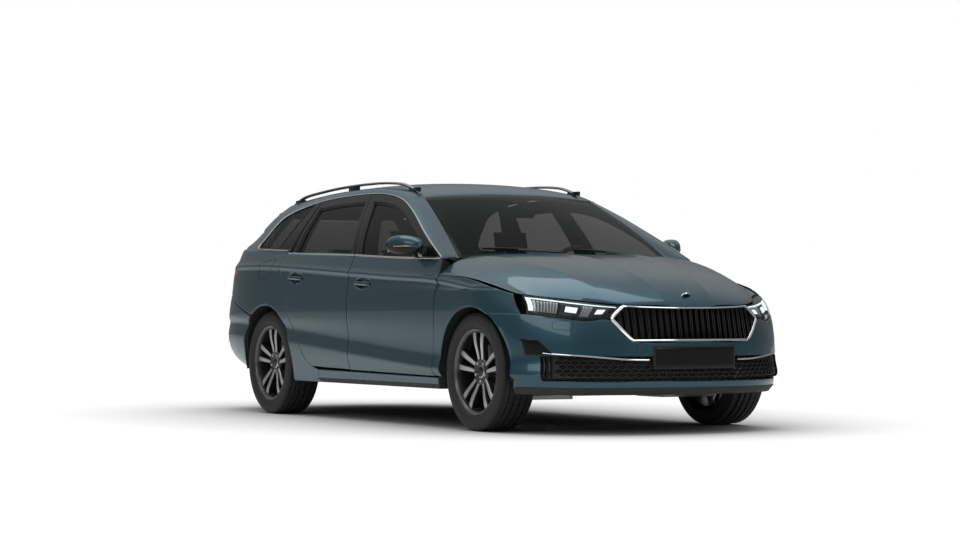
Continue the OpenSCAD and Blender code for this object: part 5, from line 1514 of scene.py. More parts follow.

        # The near-black back sheet is painted shade behind the slats.
        build("grille_back", shell(at_depth(34), at_depth(42), None, 1, wall=0), [UNDERCOAT], "body_shell",
              ["radiator_grille"])
        places, turns, sizes = [], [], []
        for i in range(self.slats):
            yc = (i + 0.5 - self.slats / 2) * 908 / self.slats
            lo = 509 if abs(yc) < 376 else float(np.interp(abs(yc), [376, 424, 472], [509, 563, 622]))
            hi = float(np.interp(abs(yc), [0, 400, 442, 472], [677, 684, 656, 626]))
            if hi - lo < 12:
                continue
            zz = np.array([lo, hi])
            xx = front_face_x(np.full(2, yc), zz) - 13
            lean = math.atan2(xx[1] - xx[0], hi - lo)
            for dy in (-5.4, 5.4):
                places.append(((xx[0] + xx[1]) / 2, yc + dy, (lo + hi) / 2))
                turns.append((0, lean, 0))
                sizes.append((1, 1, (hi - lo) / 100))
        slat = block((26, 5.4, 100), (0, 0, 0), 1.6)
        Repeats(slat).make("grille_slats", np.array(places), np.array(turns), np.array(sizes), GLOSS,
                           "body_shell", "trim_black")
        n = 60
        yb = np.linspace(-374, 374, n)
        right = np.array([[392, 524], [424, 560], [452, 598], [468, 618], [471, 626], [465, 636], [442, 659],
                          [412, 684], [398, 692]], float)
        yt = np.linspace(388, -388, n)
        zt = 692 - 9 * (1 - (yt / 388) ** 2)
        loop = np.concatenate([np.stack([yb, np.full(n, 510.0)], 1), right, np.stack([yt, zt], 1),
                               right[::-1] * [-1, 1]])
        path = np.stack([front_face_x(loop[:, 0], loop[:, 1]) + 1.0, loop[:, 0], loop[:, 1]], -1)
        size = np.concatenate([np.full(n, 1.0), np.full(9, 1.25), np.full(n, 0.75), np.full(9, 1.25)])
        build("grille_surround", sweep(path, [1, 0, 0.15], chrome_profile(15, 9), True, size), [CHROME],
              "body_shell")

    def _lamp_pt(self, k: Array, s: Array, d: float) -> Array:
        """Point of a left headlamp: k outwards, s upwards, d millimetres in."""
        yl, yu = mix(492, 806, k), mix(412, 796, k)
        y = mix(yl, yu, s)
        z = mix(at(FRONT_TOP, yl) + 4.5, at(BONNET_EDGE, yu) - 10, s)
        return np.stack([front_face_x(y + d * 0.6, z) - d, y, z], -1)

    def _lamp_shell(self, k: tuple, s: tuple, near: float, far: float, edge: float = 1.5, step: float = 0.04) -> Shape:
        """A closed piece of the lamp between shares k and s and depths near and far."""
        kk, ss = np.meshgrid(spread(k, step), spread(s, 0.12), indexing="ij")
        return shell(self._lamp_pt(kk, ss, near), self._lamp_pt(kk, ss, far), None, edge, wall=0)

    def _lamp(self, side: int, word: str) -> None:
        """Headlamp: dark housing, two projector blocks, light strips and the clear cover."""
        flip = side
        build(f"headlamp_housing_{word}", self._lamp_shell((0.0, 1), (0, 1), 46, 68, 2).mirrored(flip), [GLOSS],
              "body_shell", ["headlamps"] if side > 0 else ())
        rim = (self._lamp_shell((0, 1), (0, 0.05), 5, 60, 0.8) + self._lamp_shell((0, 1), (0.94, 1), 5, 60, 0.8)
               + self._lamp_shell((0, 0.025), (0.05, 0.94), 5, 60, 0.8)
               + self._lamp_shell((0.98, 1), (0.05, 0.94), 5, 60, 0.8))
        build(f"headlamp_rim_{word}", rim.mirrored(flip), [GLOSS], "body_shell")
        blocks = frames = fins = NOTHING
        for a, b in ((0.10, 0.235), (0.44, 0.60)):
            f = self._lamp_shell((a - 0.03, b + 0.04), (0.16, 0.8), 21, 50, 2.5)
            p = self._lamp_shell((a + 0.02, b - 0.015), (0.36, 0.66), 16, 24, 2)
            frames = frames + f
            blocks = blocks + p
        for a in (0.28, 0.31, 0.34, 0.37, 0.40, 0.66, 0.69, 0.72, 0.75, 0.78, 0.81, 0.84, 0.87):
            f = self._lamp_shell((a, a + 0.013), (0.2, 0.8), 26, 50, 0.8, 0.01)
            fins = fins + f
        build(f"headlamp_frames_{word}", frames.mirrored(flip), [POCKET], "body_shell")
        build(f"headlamp_lights_{word}", blocks.mirrored(flip), [LIGHT], "body_shell")
        build(f"headlamp_fins_{word}", fins.mirrored(flip), [GUIDE], "body_shell")
        strip = self._lamp_shell((0.03, 0.97), (0.85, 0.91), 9, 22, 1) + self._lamp_shell((0.93, 0.965), (0.2, 0.85), 9,
                                                                                          22, 1)
        build(f"headlamp_strips_{word}", strip.mirrored(flip), [LIGHT], "body_shell")
        build(f"headlamp_cover_{word}", self._lamp_shell((0, 1), (0, 1), 0, 4, 1).mirrored(flip), [LENS],
              "body_shell")

    def _bumper_trims(self, side: int, word: str) -> None:
        """Bright strip from the plate to the corner, and the washer cover and towing cover drawn as thin dark outlines
        of painted shade.
        """
        k = np.linspace(2.0, 9.75, 60)
        z = 404 + 38 * np.clip((k - 2) / 7.75, 0, 1) ** 1.5
        path = front_pt(side * front_t(k, z), z, -1.5 + 4)
        build(f"bumper_strip_{word}", sweep(path, [1, 0, 0.1], chrome_profile(12, 8)), [CHROME], "body_shell")
        kv, sv = np.meshgrid(spread([9.1, 10.9], 0.12), spread([0, 1], 0.1), indexing="ij")
        reach = np.interp(kv, [9.1, 9.9, 10.9], [0.12, 1, 1])
        zv = mix(428.0, 428 + 88 * reach, sv)
        tv = side * front_t(kv, zv)
        vent = shell(front_pt(tv, zv, -1.2), front_pt(tv, zv, 4), None, 1, wall=0)
        build(f"corner_vent_{word}", vent, [GLOSS], "body_shell")
        for name, yc, zc, w, h in (("washer_cover", 690, 590, 40, 24), ("towing_cover", 330, 470, 26, 26)):
            if name == "towing_cover" and side > 0:
                continue
            a = np.arange(28) * 2 * math.pi / 28
            e = 0.5 if name == "washer_cover" else 1.0
            y = yc + w * np.sign(np.cos(a)) * np.abs(np.cos(a)) ** e
            zz = zc + h * np.sign(np.sin(a)) * np.abs(np.sin(a)) ** e
            path = np.stack([front_face_x(y, zz) + 0.2, side * y, zz], -1)
            # Each cover is only a thin dark outline laid on the skin: painted shade where its shut line is.
            build(f"{name}_{word}", sweep(path, [1, 0, 0], bar(2.4, 1.2, 0.3), True), [UNDERCOAT], "body_shell")

    def _plate(self) -> None:
        """Blank number plate in its black holder."""
        y, z = np.meshgrid(spread([-256, 256], 32), spread([363, 471], 12), indexing="ij")
        bow = 14 * (y / 256) ** 2
        outer = np.stack([2348.6 - bow, y, z], -1)
        build("front_plate_blank", shell(outer, outer - [9, 0, 0], None, 2.5, wall=0), [GLOSS], "body_shell")
        y, z = np.meshgrid(spread([-266, 266], 32), spread([355, 479], 12), indexing="ij")
        bow = 14 * (y / 256) ** 2
        outer = np.stack([2344.6 - bow, y, z], -1)
        build("front_plate_holder", shell(outer, outer - [24, 0, 0], None, 3, wall=0), [MATT], "body_shell")


@dataclass
class RearEnd:
    """Rear bumper, tail lamps, tailgate with its window, spoiler, wiper and plate panel."""

    gate_thick: float = 70.0

    def make(self) -> None:
        """Builds the rear end."""
        self._bumper()
        for side, word in ((1, "left"), (-1, "right")):
            self._lamp(side, word)
        self._tailgate()

    def _bumper(self) -> None:
        """Rear bumper skin with its dark lower part, reflectors and bright strip."""
        ks, rows = spread([-1, 1], 0.014), spread([0, 1, 2, 3, 4, 6], 0.16)
        k, r = np.meshgrid(ks, rows, indexing="ij")
        z0 = np.interp(r, range(5), [268, 310, 370, 440, 540])
        top = at(REAR_TOP, rear_pt(k * rear_end(np.full_like(k, 632.0)), np.full_like(k, 632.0), 0)[..., 0])
        z = np.where(r <= 4, z0, mix(540, top, (r - 4) / 2))
        t = k * rear_end(np.minimum(z, 632))
        rc = (rows[1:] + rows[:-1]) / 2
        kc = (ks[1:] + ks[:-1]) / 2
        # The near-black walls are painted shade in the gaps round the bumper.
        build("rear_bumper_skin", shell(rear_pt(t, z, 0), rear_pt(t, z, 24), None, 3,
                                        lambda i, j: 2 if rc[j] < 2.2 and abs(kc[i]) < 0.78 or rc[j] < 0.5 else 0),
              [PAINT, UNDERCOAT, MATT], "body_shell", ["rear_bumper"])
        for side, word in ((1, "left"), (-1, "right")):
            kk = np.linspace(0.42, 0.6, 20)
            z = np.full_like(kk, 418.0)
            path = rear_pt(side * kk * rear_end(z), z, 1)
            build(f"rear_reflector_{word}", sweep(path, [-1, 0, 0], bar(20, 8, 3)), [RED], "body_shell")
        kk = np.linspace(-0.72, 0.72, 60)
        z = np.full_like(kk, 384.0)
        path = rear_pt(kk * rear_end(z), z, 1)
        build("rear_bumper_strip", sweep(path, [-1, 0, 0], chrome_profile(9, 6)), [CHROME], "body_shell")

    @staticmethod
    def _lamp_pt(side: int, k: Array, z: Array, d: float) -> Array:
        """Point of a tail lamp: k from the tailgate outwards."""
        y0 = at(TAILGATE_EDGE, z) + 11
        t0 = rear_angle(rear_face_x(y0, z), z)
        p = rear_pt(mix(t0, rear_angle(np.full_like(z, -1968.0), z), k), z, d)
        return p * [1, side, 1]

    def _lamp(self, side: int, word: str) -> None:
        """Tail lamp: red lens over light bars and a dark back."""
        k, z = np.meshgrid(spread([0, 1], 0.05), spread([774, 951], 16), indexing="ij")
        z = mix(z, 951 - (951 - z) * 0.98, k)
        build(f"tail_lamp_back_{word}", shell(self._lamp_pt(side, k, z, 34), self._lamp_pt(side, k, z, 60), None, 2,
                                              wall=0),
              [GLOSS], "body_shell", ["tail_lamps"] if side > 0 else ())
        build(f"tail_lamp_lens_{word}", shell(self._lamp_pt(side, k, z, 0), self._lamp_pt(side, k, z, 8), None, 2.5,
                                              wall=0),
              [RED], "body_shell")
        x, s = np.meshgrid(spread([-1964, -1740], 12), spread([0, 1], 0.15), indexing="ij")
        low = np.interp(x, [-1964, -1740], [782, 915])
        high = np.interp(x, [-1964, -1740], [946, 935])
        zt = mix(low, high, s)
        tip = shell(skin(side, x, zt, -1.5), skin(side, x, zt, 4), None, 1.2, wall=0)
        build(f"tail_lamp_tip_{word}", tip, [RED], "body_shell")
        bars = NOTHING
        for zc, ka, kb in ((925, 0.06, 0.95), (868, 0.2, 0.95), (808, 0.06, 0.9)):
            kk = np.linspace(ka, kb, 20)
            path = self._lamp_pt(side, kk, np.full_like(kk, float(zc)), 3)
            b = sweep(path, [-1, side * 0.5, 0], bar(13, 10, 3))
            bars = bars + b
        build(f"tail_lamp_bars_{word}", bars, [RED_BAR], "body_shell")

    @staticmethod
    def _gate_pt(v: Array, z: Array, d: float) -> Array:
        """Point of the tailgate, d millimetres in."""
        y = v * at(TAILGATE_EDGE, z)
        return np.stack([rear_face_x(y, z) + d, y - v * d * 0.69, z], -1)

    def _tailgate(self) -> None:
        """Tailgate skin with its window, spoiler lip, plate recess and handle."""
        vs = spread([-1, -0.86, 0.86, 1], 0.035)
        zr = [662, 800, 955, 988, 1040, 1120, 1200, 1290]
        rows = spread(list(range(10)), 0.125)
        v, r = np.meshgrid(vs, rows, indexing="ij")
        z = np.interp(np.minimum(r, 7), range(8), zr)
        outer, inner = self._gate_pt(v, z, 0), self._gate_pt(v, z, self.gate_thick)
        y = v * at(TAILGATE_EDGE, z)
        dent = 26 * smooth((300 - np.abs(y)) / 26) * smooth((z - 742) / 14) * smooth((905 - z) / 14)
        dent *= np.where(r <= 7, 1, 0)
        outer[..., 0] += dent
        ridge = 7 * np.exp(-((z - 952) / 16) ** 2) * np.where(r <= 7, 1, 0)
        outer[..., 0] += ridge * 0.5
        lip = np.stack([-2150 + 200 * v * v, v * 470, 1352 - 26 * v * v], -1)
        top = np.stack([-2066 + 150 * v * v, v * 452, roof_z(np.full_like(v, -2060.0), v * 452) - 2], -1)
        vi, vt = v * 0.93, v * 0.97
        lip_in = np.stack([-2150 + 200 * vi * vi + 45, vi * 470, 1352 - 26 * vi * vi - 34], -1)
        top_in = np.stack([-2066 + 150 * vt * vt, vt * 452, roof_z(np.full_like(v, -2060.0), vt * 452) - 36], -1)
        for a, o, i in ((7, lip, lip_in), (8, top, top_in)):
            pick = (r > a) & (r <= a + 1)
            s = (r - a)[..., None]
            base_o = self._gate_pt(v, np.full_like(z, 1290.0), 0) if a == 7 else lip
            base_i = self._gate_pt(v, np.full_like(z, 1290.0), self.gate_thick) if a == 7 else lip_in
            outer = np.where(pick[..., None], mix(base_o, o, s), outer)
            inner = np.where(pick[..., None], mix(base_i, i, s), inner)
        vc, rc = (vs[1:] + vs[:-1]) / 2, (rows[1:] + rows[:-1]) / 2
        hole = (np.abs(vc)[:, None] < 0.86) & (rc[None] > 4) & (rc[None] < 7)
        # The near-black walls and inner skin are painted shade in the tailgate's shut gaps.
        build("tailgate_skin", shell(outer, inner, ~hole, 3, lambda i, j: 2 if 4 < rc[j] < 7.3 else 0),
              [PAINT, UNDERCOAT, GLOSS], "tailgate", ["tailgate"], 34)
        gv, gz = np.meshgrid(spread([-0.86, 0.86], 0.05), spread([1041, 1289], 18), indexing="ij")
        pane = shell(self._gate_pt(gv, gz, 9), self._gate_pt(gv, gz, 14), None, 0.8, wall=0)
        build("tailgate_glass", pane, [PANE], "tailgate", ["tailgate_window"])
        lines = NOTHING
        for zz in np.arange(1066, 1270, 17):
            vv = np.linspace(-0.78, 0.78, 30)
            path = self._gate_pt(vv, np.full_like(vv, float(zz)), 14.4)
            w = sweep(path, [-1, 0, 0.3], bar(1.0, 0.6, 0.2))
            lines = lines + w
        build("heater_lines", lines, [PIPE], "tailgate")
        arm = np.array([[-2272, 0, 1010], [-2262, 40, 1034], [-2236, 150, 1062], [-2202, 300, 1086]], float)
        arm[:, 0] = rear_face_x(arm[:, 1], arm[:, 2]) - 8
        t = np.linspace(0.06, 0.72, 20)
        blade = self._gate_pt(t, np.full_like(t, 1082.0), -5)
        hub = lathe([[0, -8], [20, -6], [24, 4], [0, 4]], 32, False).moved(
            Matrix.Translation((float(rear_face_x(np.array(0.0), np.array(1010.0))) - 2, 0, 1012))
                                                                           @ Matrix.Rotation(math.radians(90), 4, "Z"))
        build("rear_wiper", sweep(arm, [-1, 0, 0.4], bar(16, 8, 2)) + sweep(blade, [-1, 0, 0.4], bar(9, 10, 2)) + hub,
              [MATT], "tailgate")
        y, z = np.meshgrid(spread([-258, 258], 30), spread([764, 872], 12), indexing="ij")
        face = np.stack([rear_face_x(y, z) + 12, y, z], -1)
        build("rear_plate_blank", shell(face, face + [9, 0, 0], None, 2.5, wall=0), [GLOSS], "tailgate")
        yy = np.linspace(-300, 300, 40)
        path = np.stack([rear_face_x(yy, np.full_like(yy, 912.0)) - 1, yy, np.full_like(yy, 912.0)], -1)
        build("tailgate_strip", sweep(path, [-1, 0, 0], chrome_profile(15, 8)), [CHROME], "tailgate")
        yy = np.linspace(-190, 190, 30)
        path = np.stack([-2150 + 200 * (yy / 470) ** 2 + 2, yy, np.full_like(yy, 1341.0)], -1)
        build("high_stop_lamp", sweep(path, [-1, 0, 0], bar(9, 5, 1.5)), [RED_BAR], "tailgate")


# ---------------------------------------------------------------------------------------------
# Wheels
# ---------------------------------------------------------------------------------------------
@dataclass
class Wheel:
    """One road wheel with its tyre, brake disc and caliper, turning about the y axis."""

    name: str
    x: float
    side: int
    body: str
    carrier: str
    y: float = 771.5
    hub_z: float = 330.0
    rim: float = 241.0
    tyre: float = 330.0
    half: float = 112.5

    def make(self) -> None:
        """Builds the wheel."""
        self._tyre()
        self._rim()
        self._brake()

    def _place(self, shape: Shape) -> Shape:
        """Shape made with +y outwards, put on its axle."""
        shape = shape if self.side > 0 else shape.mirrored(-1)
        return shape.moved(Matrix.Translation((self.x, self.side * self.y, self.hub_z)))

    def _spot(self, points: Array) -> Array:
        """Places made with +y outwards, put on the axle."""
        return np.asarray(points, float) * [1, self.side, 1] + [self.x, self.side * self.y, self.hub_z]

    def _tyre(self) -> None:
        """Carcass with its wall steps and rim guard, and the tread's blocks."""
        r, w = self.tyre, self.half
        wall = [[-w + 20, r - 9], [-w + 8, r - 14], [-w + 2.5, r - 24], [-w + 0.5, r - 40], [-w, r - 55],
                [-w + 1.5, r - 68], [-w + 4.5, r - 74], [-w + 4, r - 79], [-w + 8, r - 84], [-w + 11, r - 88]]
        groove = []
        for yc in (-58, -20, 20, 58):
            groove += [[yc - 5, r - 3.5], [yc - 4, r - 10], [yc + 4, r - 10], [yc + 5, r - 3.5]]
        ring = [[p[1], p[0]] for p in reversed(wall)] + [[p[1], p[0]] for p in groove] + [[p[1], -p[0]] for p in wall]
        ring += [[self.rim + 1, 97], [self.rim + 1, -97]]
        build(f"tyre_carcass_{self.name}", self._place(lathe(ring, 144, True)), [TYRE], self.body,
              [f"tyre_{self.name}"], 40)
        places, turns, sizes = [], [], []
        for row, (yc, wide, count) in enumerate(((-82, 30, 72), (-39, 26, 60), (0, 28, 60), (39, 26, 60),
                                                 (82, 30, 72))):
            for i in range(count):
                a = 2 * math.pi * (i + 0.5 * (row % 2)) / count
                rad = r - 5.5 - (4.5 if abs(yc) > 60 else 0)
                places.append((rad * math.sin(a), yc, rad * math.cos(a)))
                turns.append((0.05 * np.sign(yc) if abs(yc) > 60 else 0, a, 0))
                sizes.append((2 * math.pi * rad / count / 10 * 0.86, wide / 10, 1))
        lump = block((10, 10, 9), (0, 0, 0), 1.0)
        turns = [(t[0] * self.side, t[1], 0) for t in turns]
        Repeats(lump).make(f"tread_{self.name}", self._spot(places), np.array(turns), np.array(sizes), TYRE,
                           self.body, "tyre")

    def _rim(self) -> None:
        """Barrel, lip, spokes, hub, bolts and valve."""
        r = self.rim
        barrel = [[r - 3, 101], [r + 1.5, 98], [r + 1.5, 92], [r - 12, 88], [r - 22, 60], [r - 28, 10], [r - 14, -84],
                  [r + 1.5, -92], [r + 1.5, -98], [r - 4, -101], [r - 10, -98], [r - 22, -84], [r - 35, 8],
                  [r - 30, 62],
                  [r - 21, 88], [r - 12, 95]]
        build(f"rim_barrel_{self.name}", self._place(lathe(barrel, 120, True)), [POCKET], self.body,
              [f"rim_{self.name}"], 30)
        lip = [[r - 5, 101.5], [r - 1.5, 100.8], [r - 1.5, 97.5], [r - 14, 93], [r - 20, 86], [r - 22, 80],
               [r - 19, 90],
               [r - 13, 97]]
        build(f"rim_lip_{self.name}", self._place(lathe(lip, 120, True)), [SHADE], self.body)
        dark = face = NOTHING
        for i in range(5):
            a0 = 2 * math.pi * i / 5 + math.pi / 2
            for s in (-1, 1):
                d, f = self._spoke(a0, s)
                dark = dark + d
                face = face + f
        hub = lathe([[30, 30], [74, 30], [76, 58], [70, 66], [62, 69], [52, 66], [46, 60], [33, 60], [30, 62]], 80,
                    True)
        dark = dark + hub
        build(f"spokes_{self.name}", self._place(dark), [POCKET], self.body, angle=32)
        build(f"spoke_faces_{self.name}", self._place(face), [MACHINED], self.body, angle=30)
        cap = lathe([[0, 61], [20, 61], [27, 60], [29.5, 57], [29.5, 52], [0, 52]], 48, False)
        ring = lathe([[29.5, 62.5], [33, 61.5], [33, 57], [29.5, 57]], 64, True)
        build(f"hub_cap_{self.name}", self._place(cap), [GLOSS], self.body)
        build(f"hub_cap_ring_{self.name}", self._place(ring), [CHROME], self.body)
        holes, turns = [], []
        for i in range(5):
            a = 2 * math.pi * (i + 0.5) / 5 + math.pi / 2
            holes.append((54 * math.cos(a), 64, 54 * math.sin(a)))
            turns.append((0, 0, 0))
        bolt = lathe([[0, 5], [6, 5], [8, 3.5], [9, 0], [9, -8], [0, -8]], 12, False)
        Repeats(bolt).make(f"wheel_bolts_{self.name}", self._spot(holes), np.array(turns),
                           np.ones((5, 3)) * [1, self.side, 1],
                           SATIN, self.body, "alloy")
        valve = lathe([[0, 116], [3.2, 116], [3.6, 100], [4.5, 82], [0, 82]], 16, False).moved(
            Matrix.Translation((0, -18, -(r - 34))))
        build(f"tyre_valve_{self.name}", self._place(valve), [MATT], self.body)

    def _spoke(self, a0: float, s: int) -> tuple[Shape, Shape]:
        """One arm of a double spoke: the dark arm and its bright turned face."""
        n = 9
        u = np.linspace(0, 1, n)
        rad = mix(52, self.rim - 20, u)
        mid = mix(17, 45, u ** 1.1) * s
        half = mix(11, 18.5, u)
        front = 64 + 18 * smooth(u / 0.8) - 3 * u
        back = front - mix(30, 34, u)

        def ring(i: int, grow: float, top: float, low: float, edge: float) -> list:
            """Section of the arm at one radius."""
            w = half[i] + grow
            return [[rad[i], mid[i] - w, low], [rad[i], mid[i] + w, low], [rad[i], mid[i] + w - 1, top - edge],
                    [rad[i], mid[i] + w - 1 - edge, top], [rad[i], mid[i] - w + 1 + edge, top],
                    [rad[i], mid[i] - w + 1, top - edge]]

        def arm(grow: float, rise: float, deep: float, edge: float) -> Shape:
            """Closed loft along the arm."""
            pts = np.array([ring(i, grow, front[i] + rise, (back[i] if deep == 0 else front[i] + rise - deep), edge)
                            for i in range(n)]).reshape(-1, 3)
            m = 6
            faces = [[i * m + j, i * m + (j + 1) % m, (i + 1) * m + (j + 1) % m, (i + 1) * m + j]
                     for i in range(n - 1) for j in range(m)]
            faces += [list(range(m))[::-1], [(n - 1) * m + j for j in range(m)]]
            ca, sa = math.cos(a0), math.sin(a0)
            out = np.stack([pts[:, 0] * ca - pts[:, 1] * sa, pts[:, 2], pts[:, 0] * sa + pts[:, 1] * ca], -1)
            return Shape(out, faces, [0] * len(faces))

        return arm(1.5, 0, 0, 4), arm(-2.5, 1.4, 3, 0.8)

    def _brake(self) -> None:
        """Vented disc with its hub, and the caliper over its edge."""
        disc = lathe([[78, 6], [148, 6], [150, 5], [150, 0], [146, -1], [146, -5], [150, -6], [150, -12], [148, -13],
                      [78, -13]],
                     96, True)
        bell = lathe([[20, 30], [70, 30], [74, 27], [76, 8], [76, -10], [66, -10], [64, 20], [20, 22]], 64, True)
        build(f"brake_disc_{self.name}", self._place(disc), [STEEL], self.body, angle=30)
        build(f"brake_bell_{self.name}", self._place(bell), [CAST], self.body, angle=30)
        pads = NOTHING
        rearwards = math.pi / 2 * (1 if self.x > 0 else -1)
        for ang in np.linspace(-0.42, 0.42, 7):
            turn = Matrix.Rotation(ang + rearwards, 4, "Y")
            for size, place, edge in (((36, 17, 62), (0, -31, 128), 5), ((36, 56, 14), (0, -7, 160), 3),
                                      ((36, 8, 52), (0, 17, 130), 3)):
                pads = pads + block(size, (0, 0, 0), edge).moved(turn @ Matrix.Translation(place))
        build(f"brake_caliper_{self.name}", self._place(pads), [SATIN], self.carrier, angle=30)


# ---------------------------------------------------------------------------------------------
# Cabin
# ---------------------------------------------------------------------------------------------
@dataclass
class Cabin:
    """Seats, dashboard, steering wheel and carpet."""

    def make(self) -> None:
        """Builds the cabin."""
        for y, word in ((372, "left"), (-372, "right")):
            self._front_seat(y, word)
        self._bench()
        self._dashboard()
        self._steering()
        self._floor()

    @staticmethod
    def _pad(name: str, a: tuple, b: tuple, y: float, wide: float, thick: tuple, grooves: int, bolster: float,
             replaces: tuple = ()) -> None:
        """Padded piece between two points of the side view, with seams, channels and side bolsters."""
        (xa, za), (xb, zb) = a, b
        long = math.hypot(xb - xa, zb - za)
        nu, nv = 73, 49
        u, v = np.meshgrid(np.linspace(0, 1, nu), np.linspace(-1, 1, nv), indexing="ij")
        half = mix(thick[0], thick[1], u) / 2
        square = (1 - np.abs(2 * u - 1) ** 7) ** 0.5 * (1 - np.abs(v) ** 9) ** 0.5
        side = smooth((np.abs(v) - 0.56) / 0.26)
        crown = 1 - 0.16 * (1 - side) - 0.1 * np.cos(2 * math.pi * u) * (1 - side)
        channel = np.zeros_like(u)
        for g in range(1, grooves + 1):
            channel += np.exp(-(((u - g / (grooves + 1)) * long) / 6) ** 2) * (1 - side)
        seam = np.exp(-(((np.abs(v) - 0.6) * wide / 2) / 4.5) ** 2)
        up = half * square * (crown + bolster * side) - (4.5 * channel + 5 * seam) * square
        low = -half * square * 0.9
        pull = 1 - 0.035 * np.sin(math.pi * np.clip(u, 0, 1)) * np.abs(v)
        dx, dz = (xb - xa) / long, (zb - za) / long
        if abs(dx) >= abs(dz):
            nx, nz = (-dz, dx) if dx > 0 else (dz, -dx)
        else:
            nx, nz = (dz, -dx) if dz > 0 else (-dz, dx)

        def face(h: Array) -> Array:
            """Surface at height h off the middle plane."""
            s = u * long
            return np.stack([xa + dx * s + nx * h, y + v * wide / 2 * pull, za + dz * s + nz * h], -1)

        top, bottom = face(up), face(low)
        shape = shell(top, bottom, None, 0, wall=0)
        build(name, shape, [HIDE], "body_shell", replaces, 60)

        pts = []
        for edge_v in (-0.6, 0.6):
            j = int(round((edge_v + 1) / 2 * (nv - 1)))
            pts.append(top[4:-4, j] + np.array([nx, 0, nz]) * 0.6)
        piping = sweep(pts[0], [nx, 0, nz], circle(1.6, 8)) + sweep(pts[1], [nx, 0, nz], circle(1.6, 8))
        build(f"{name}_piping", piping, [LINING], "body_shell")

    def _front_seat(self, y: float, word: str) -> None:
        """Front seat: cushion, backrest, head restraint, posts, shell and rails."""
        self._pad(f"seat_cushion_{word}", (325, 402), (-60, 382), y, 500, (118, 150), 4, 0.28,
                  ["front_seats"] if y > 0 else ())
        self._pad(f"seat_backrest_{word}", (-70, 420), (-248, 985), y, 490, (118, 84), 5, 0.3)
        self._pad(f"head_restraint_{word}", (-258, 1045), (-284, 1165), y, 238, (66, 58), 0, 0.0)
        posts = NOTHING
        for dy in (-52, 52):
            p = sweep(np.array([[-246, y + dy, 960], [-262, y + dy, 1040], [-266, y + dy, 1070]], float), [1, 0, 0],
                      circle(6, 12))
            posts = posts + p
        build(f"head_restraint_posts_{word}", posts, [CHROME], "body_shell")
        base = block((392, 420, 70), (122, y, 322), 12) + block((60, 56, 100), (-70, y - 226, 400), 10)
        base = base + block((60, 56, 100), (-70, y + 226, 400), 10)
        build(f"seat_base_{word}", base, [DASH], "body_shell", angle=35)
        rails = NOTHING
        for dy in (-190, 190):
            q = block((400, 36, 30), (120, y + dy, 284), 3) + block((30, 40, 26), (300, y + dy, 268), 3)
            rails = rails + q
        build(f"seat_rails_{word}", rails, [STEEL], "body_shell", angle=30)

    def _bench(self) -> None:
        """Rear bench with three places."""
        for i, (y, wide) in enumerate(((-392, 386), (0, 380), (392, 386))):
            self._pad(f"bench_cushion_{i + 1}", (-530, 404), (-862, 398), y, wide, (120, 140), 3, 0.12,
                      ["rear_bench"] if i == 0 else ())
        for i, (y, wide) in enumerate(((-378, 366), (0, 372), (378, 366))):
            self._pad(f"bench_backrest_{i + 1}", (-890, 430), (-1078, 905), y, wide, (120, 90), 4, 0.12)
        for i, y in enumerate((-360, 0, 360)):
            self._pad(f"rear_head_restraint_{i + 1}", (-1090, 945), (-1106, 1065), y, 226, (60, 54), 0, 0.0)
        base = block((330, 1150, 80), (-700, 0, 312), 10) + block((24, 1130, 420), (-1040, 0, 640), 6).moved(
            Matrix.Translation((0, 0, 0)))
        build("bench_base", base, [DASH], "body_shell", angle=35)

    def _dashboard(self) -> None:
        """Dashboard with hood, screens, vents and centre console."""
        n = 60
        y = np.linspace(-698, 698, n)
        prof = np.array([[700, 640], [688, 700], [692, 770], [716, 800], [716, 822], [700, 850], [708, 886], [760, 908],
                         [860, 900], [938, 862], [940, 700], [938, 642]], float)
        pts = np.array([[[px + 14 * (yy / 700) ** 2 - (10 if k in (5, 6) and 230 < yy < 520 else 0), yy,
                          pz + (18 * math.exp(-((yy - 372) / 130) ** 4) if k in (6, 7) else 0)] for k,
                         (px, pz) in enumerate(prof)]
                        for yy in y])
        m = len(prof)
        faces = [[i * m + j, (i + 1) * m + j, (i + 1) * m + (j + 1) % m, i * m + (j + 1) % m] for i in range(n - 1)
                 for j in range(m)]
        faces += [list(range(m)), [(n - 1) * m + j for j in reversed(range(m))]]
        build("dashboard_top", Shape(pts.reshape(-1, 3), faces, [0] * len(faces)), [DASH], "body_shell",
              ["dashboard"], 35)
        build("centre_screen", block((14, 250, 150), (694, 0, 800), 6), [GLASSY], "body_shell")
        build("dial_binnacle", block((20, 270, 110), (690, 372, 838), 10), [GLASSY], "body_shell")
        vents = NOTHING
        for yc in (-640, -165, 165, 640):
            for dz in (-14, 0, 14):
                b = block((10, 90, 5), (704 if abs(yc) < 300 else 712, yc, 842 + dz), 1.5)
                vents = vents + b
        build("air_vents", vents, [SATIN], "body_shell")
        strip = sweep(np.array([[704 + 14 * (yy / 700) ** 2, yy, 812] for yy in np.linspace(-680, 680, 40)]), [1, 0, 0],
                      bar(9, 8, 3))
        build("dashboard_strip", strip, [SATIN], "body_shell")
        console = block((790, 208, 290), (305, 0, 404), 30) + block((250, 180, 60), (-70, 0, 570), 20)
        build("centre_console", console, [DASH], "body_shell", angle=35)
        lever = sweep(np.array([[330, 0, 545], [328, 0, 600], [322, 0, 640]], float), [0, 1, 0], circle(9, 14))
        knob = lathe([[0, 32], [16, 28], [24, 12], [25, -10], [18, -26], [0, -28]], 32, False).moved(
            Matrix.Translation((318, 0, 655)) @ Matrix.Rotation(math.radians(90), 4, "X"))
        build("gear_lever", lever + knob, [HIDE], "body_shell")

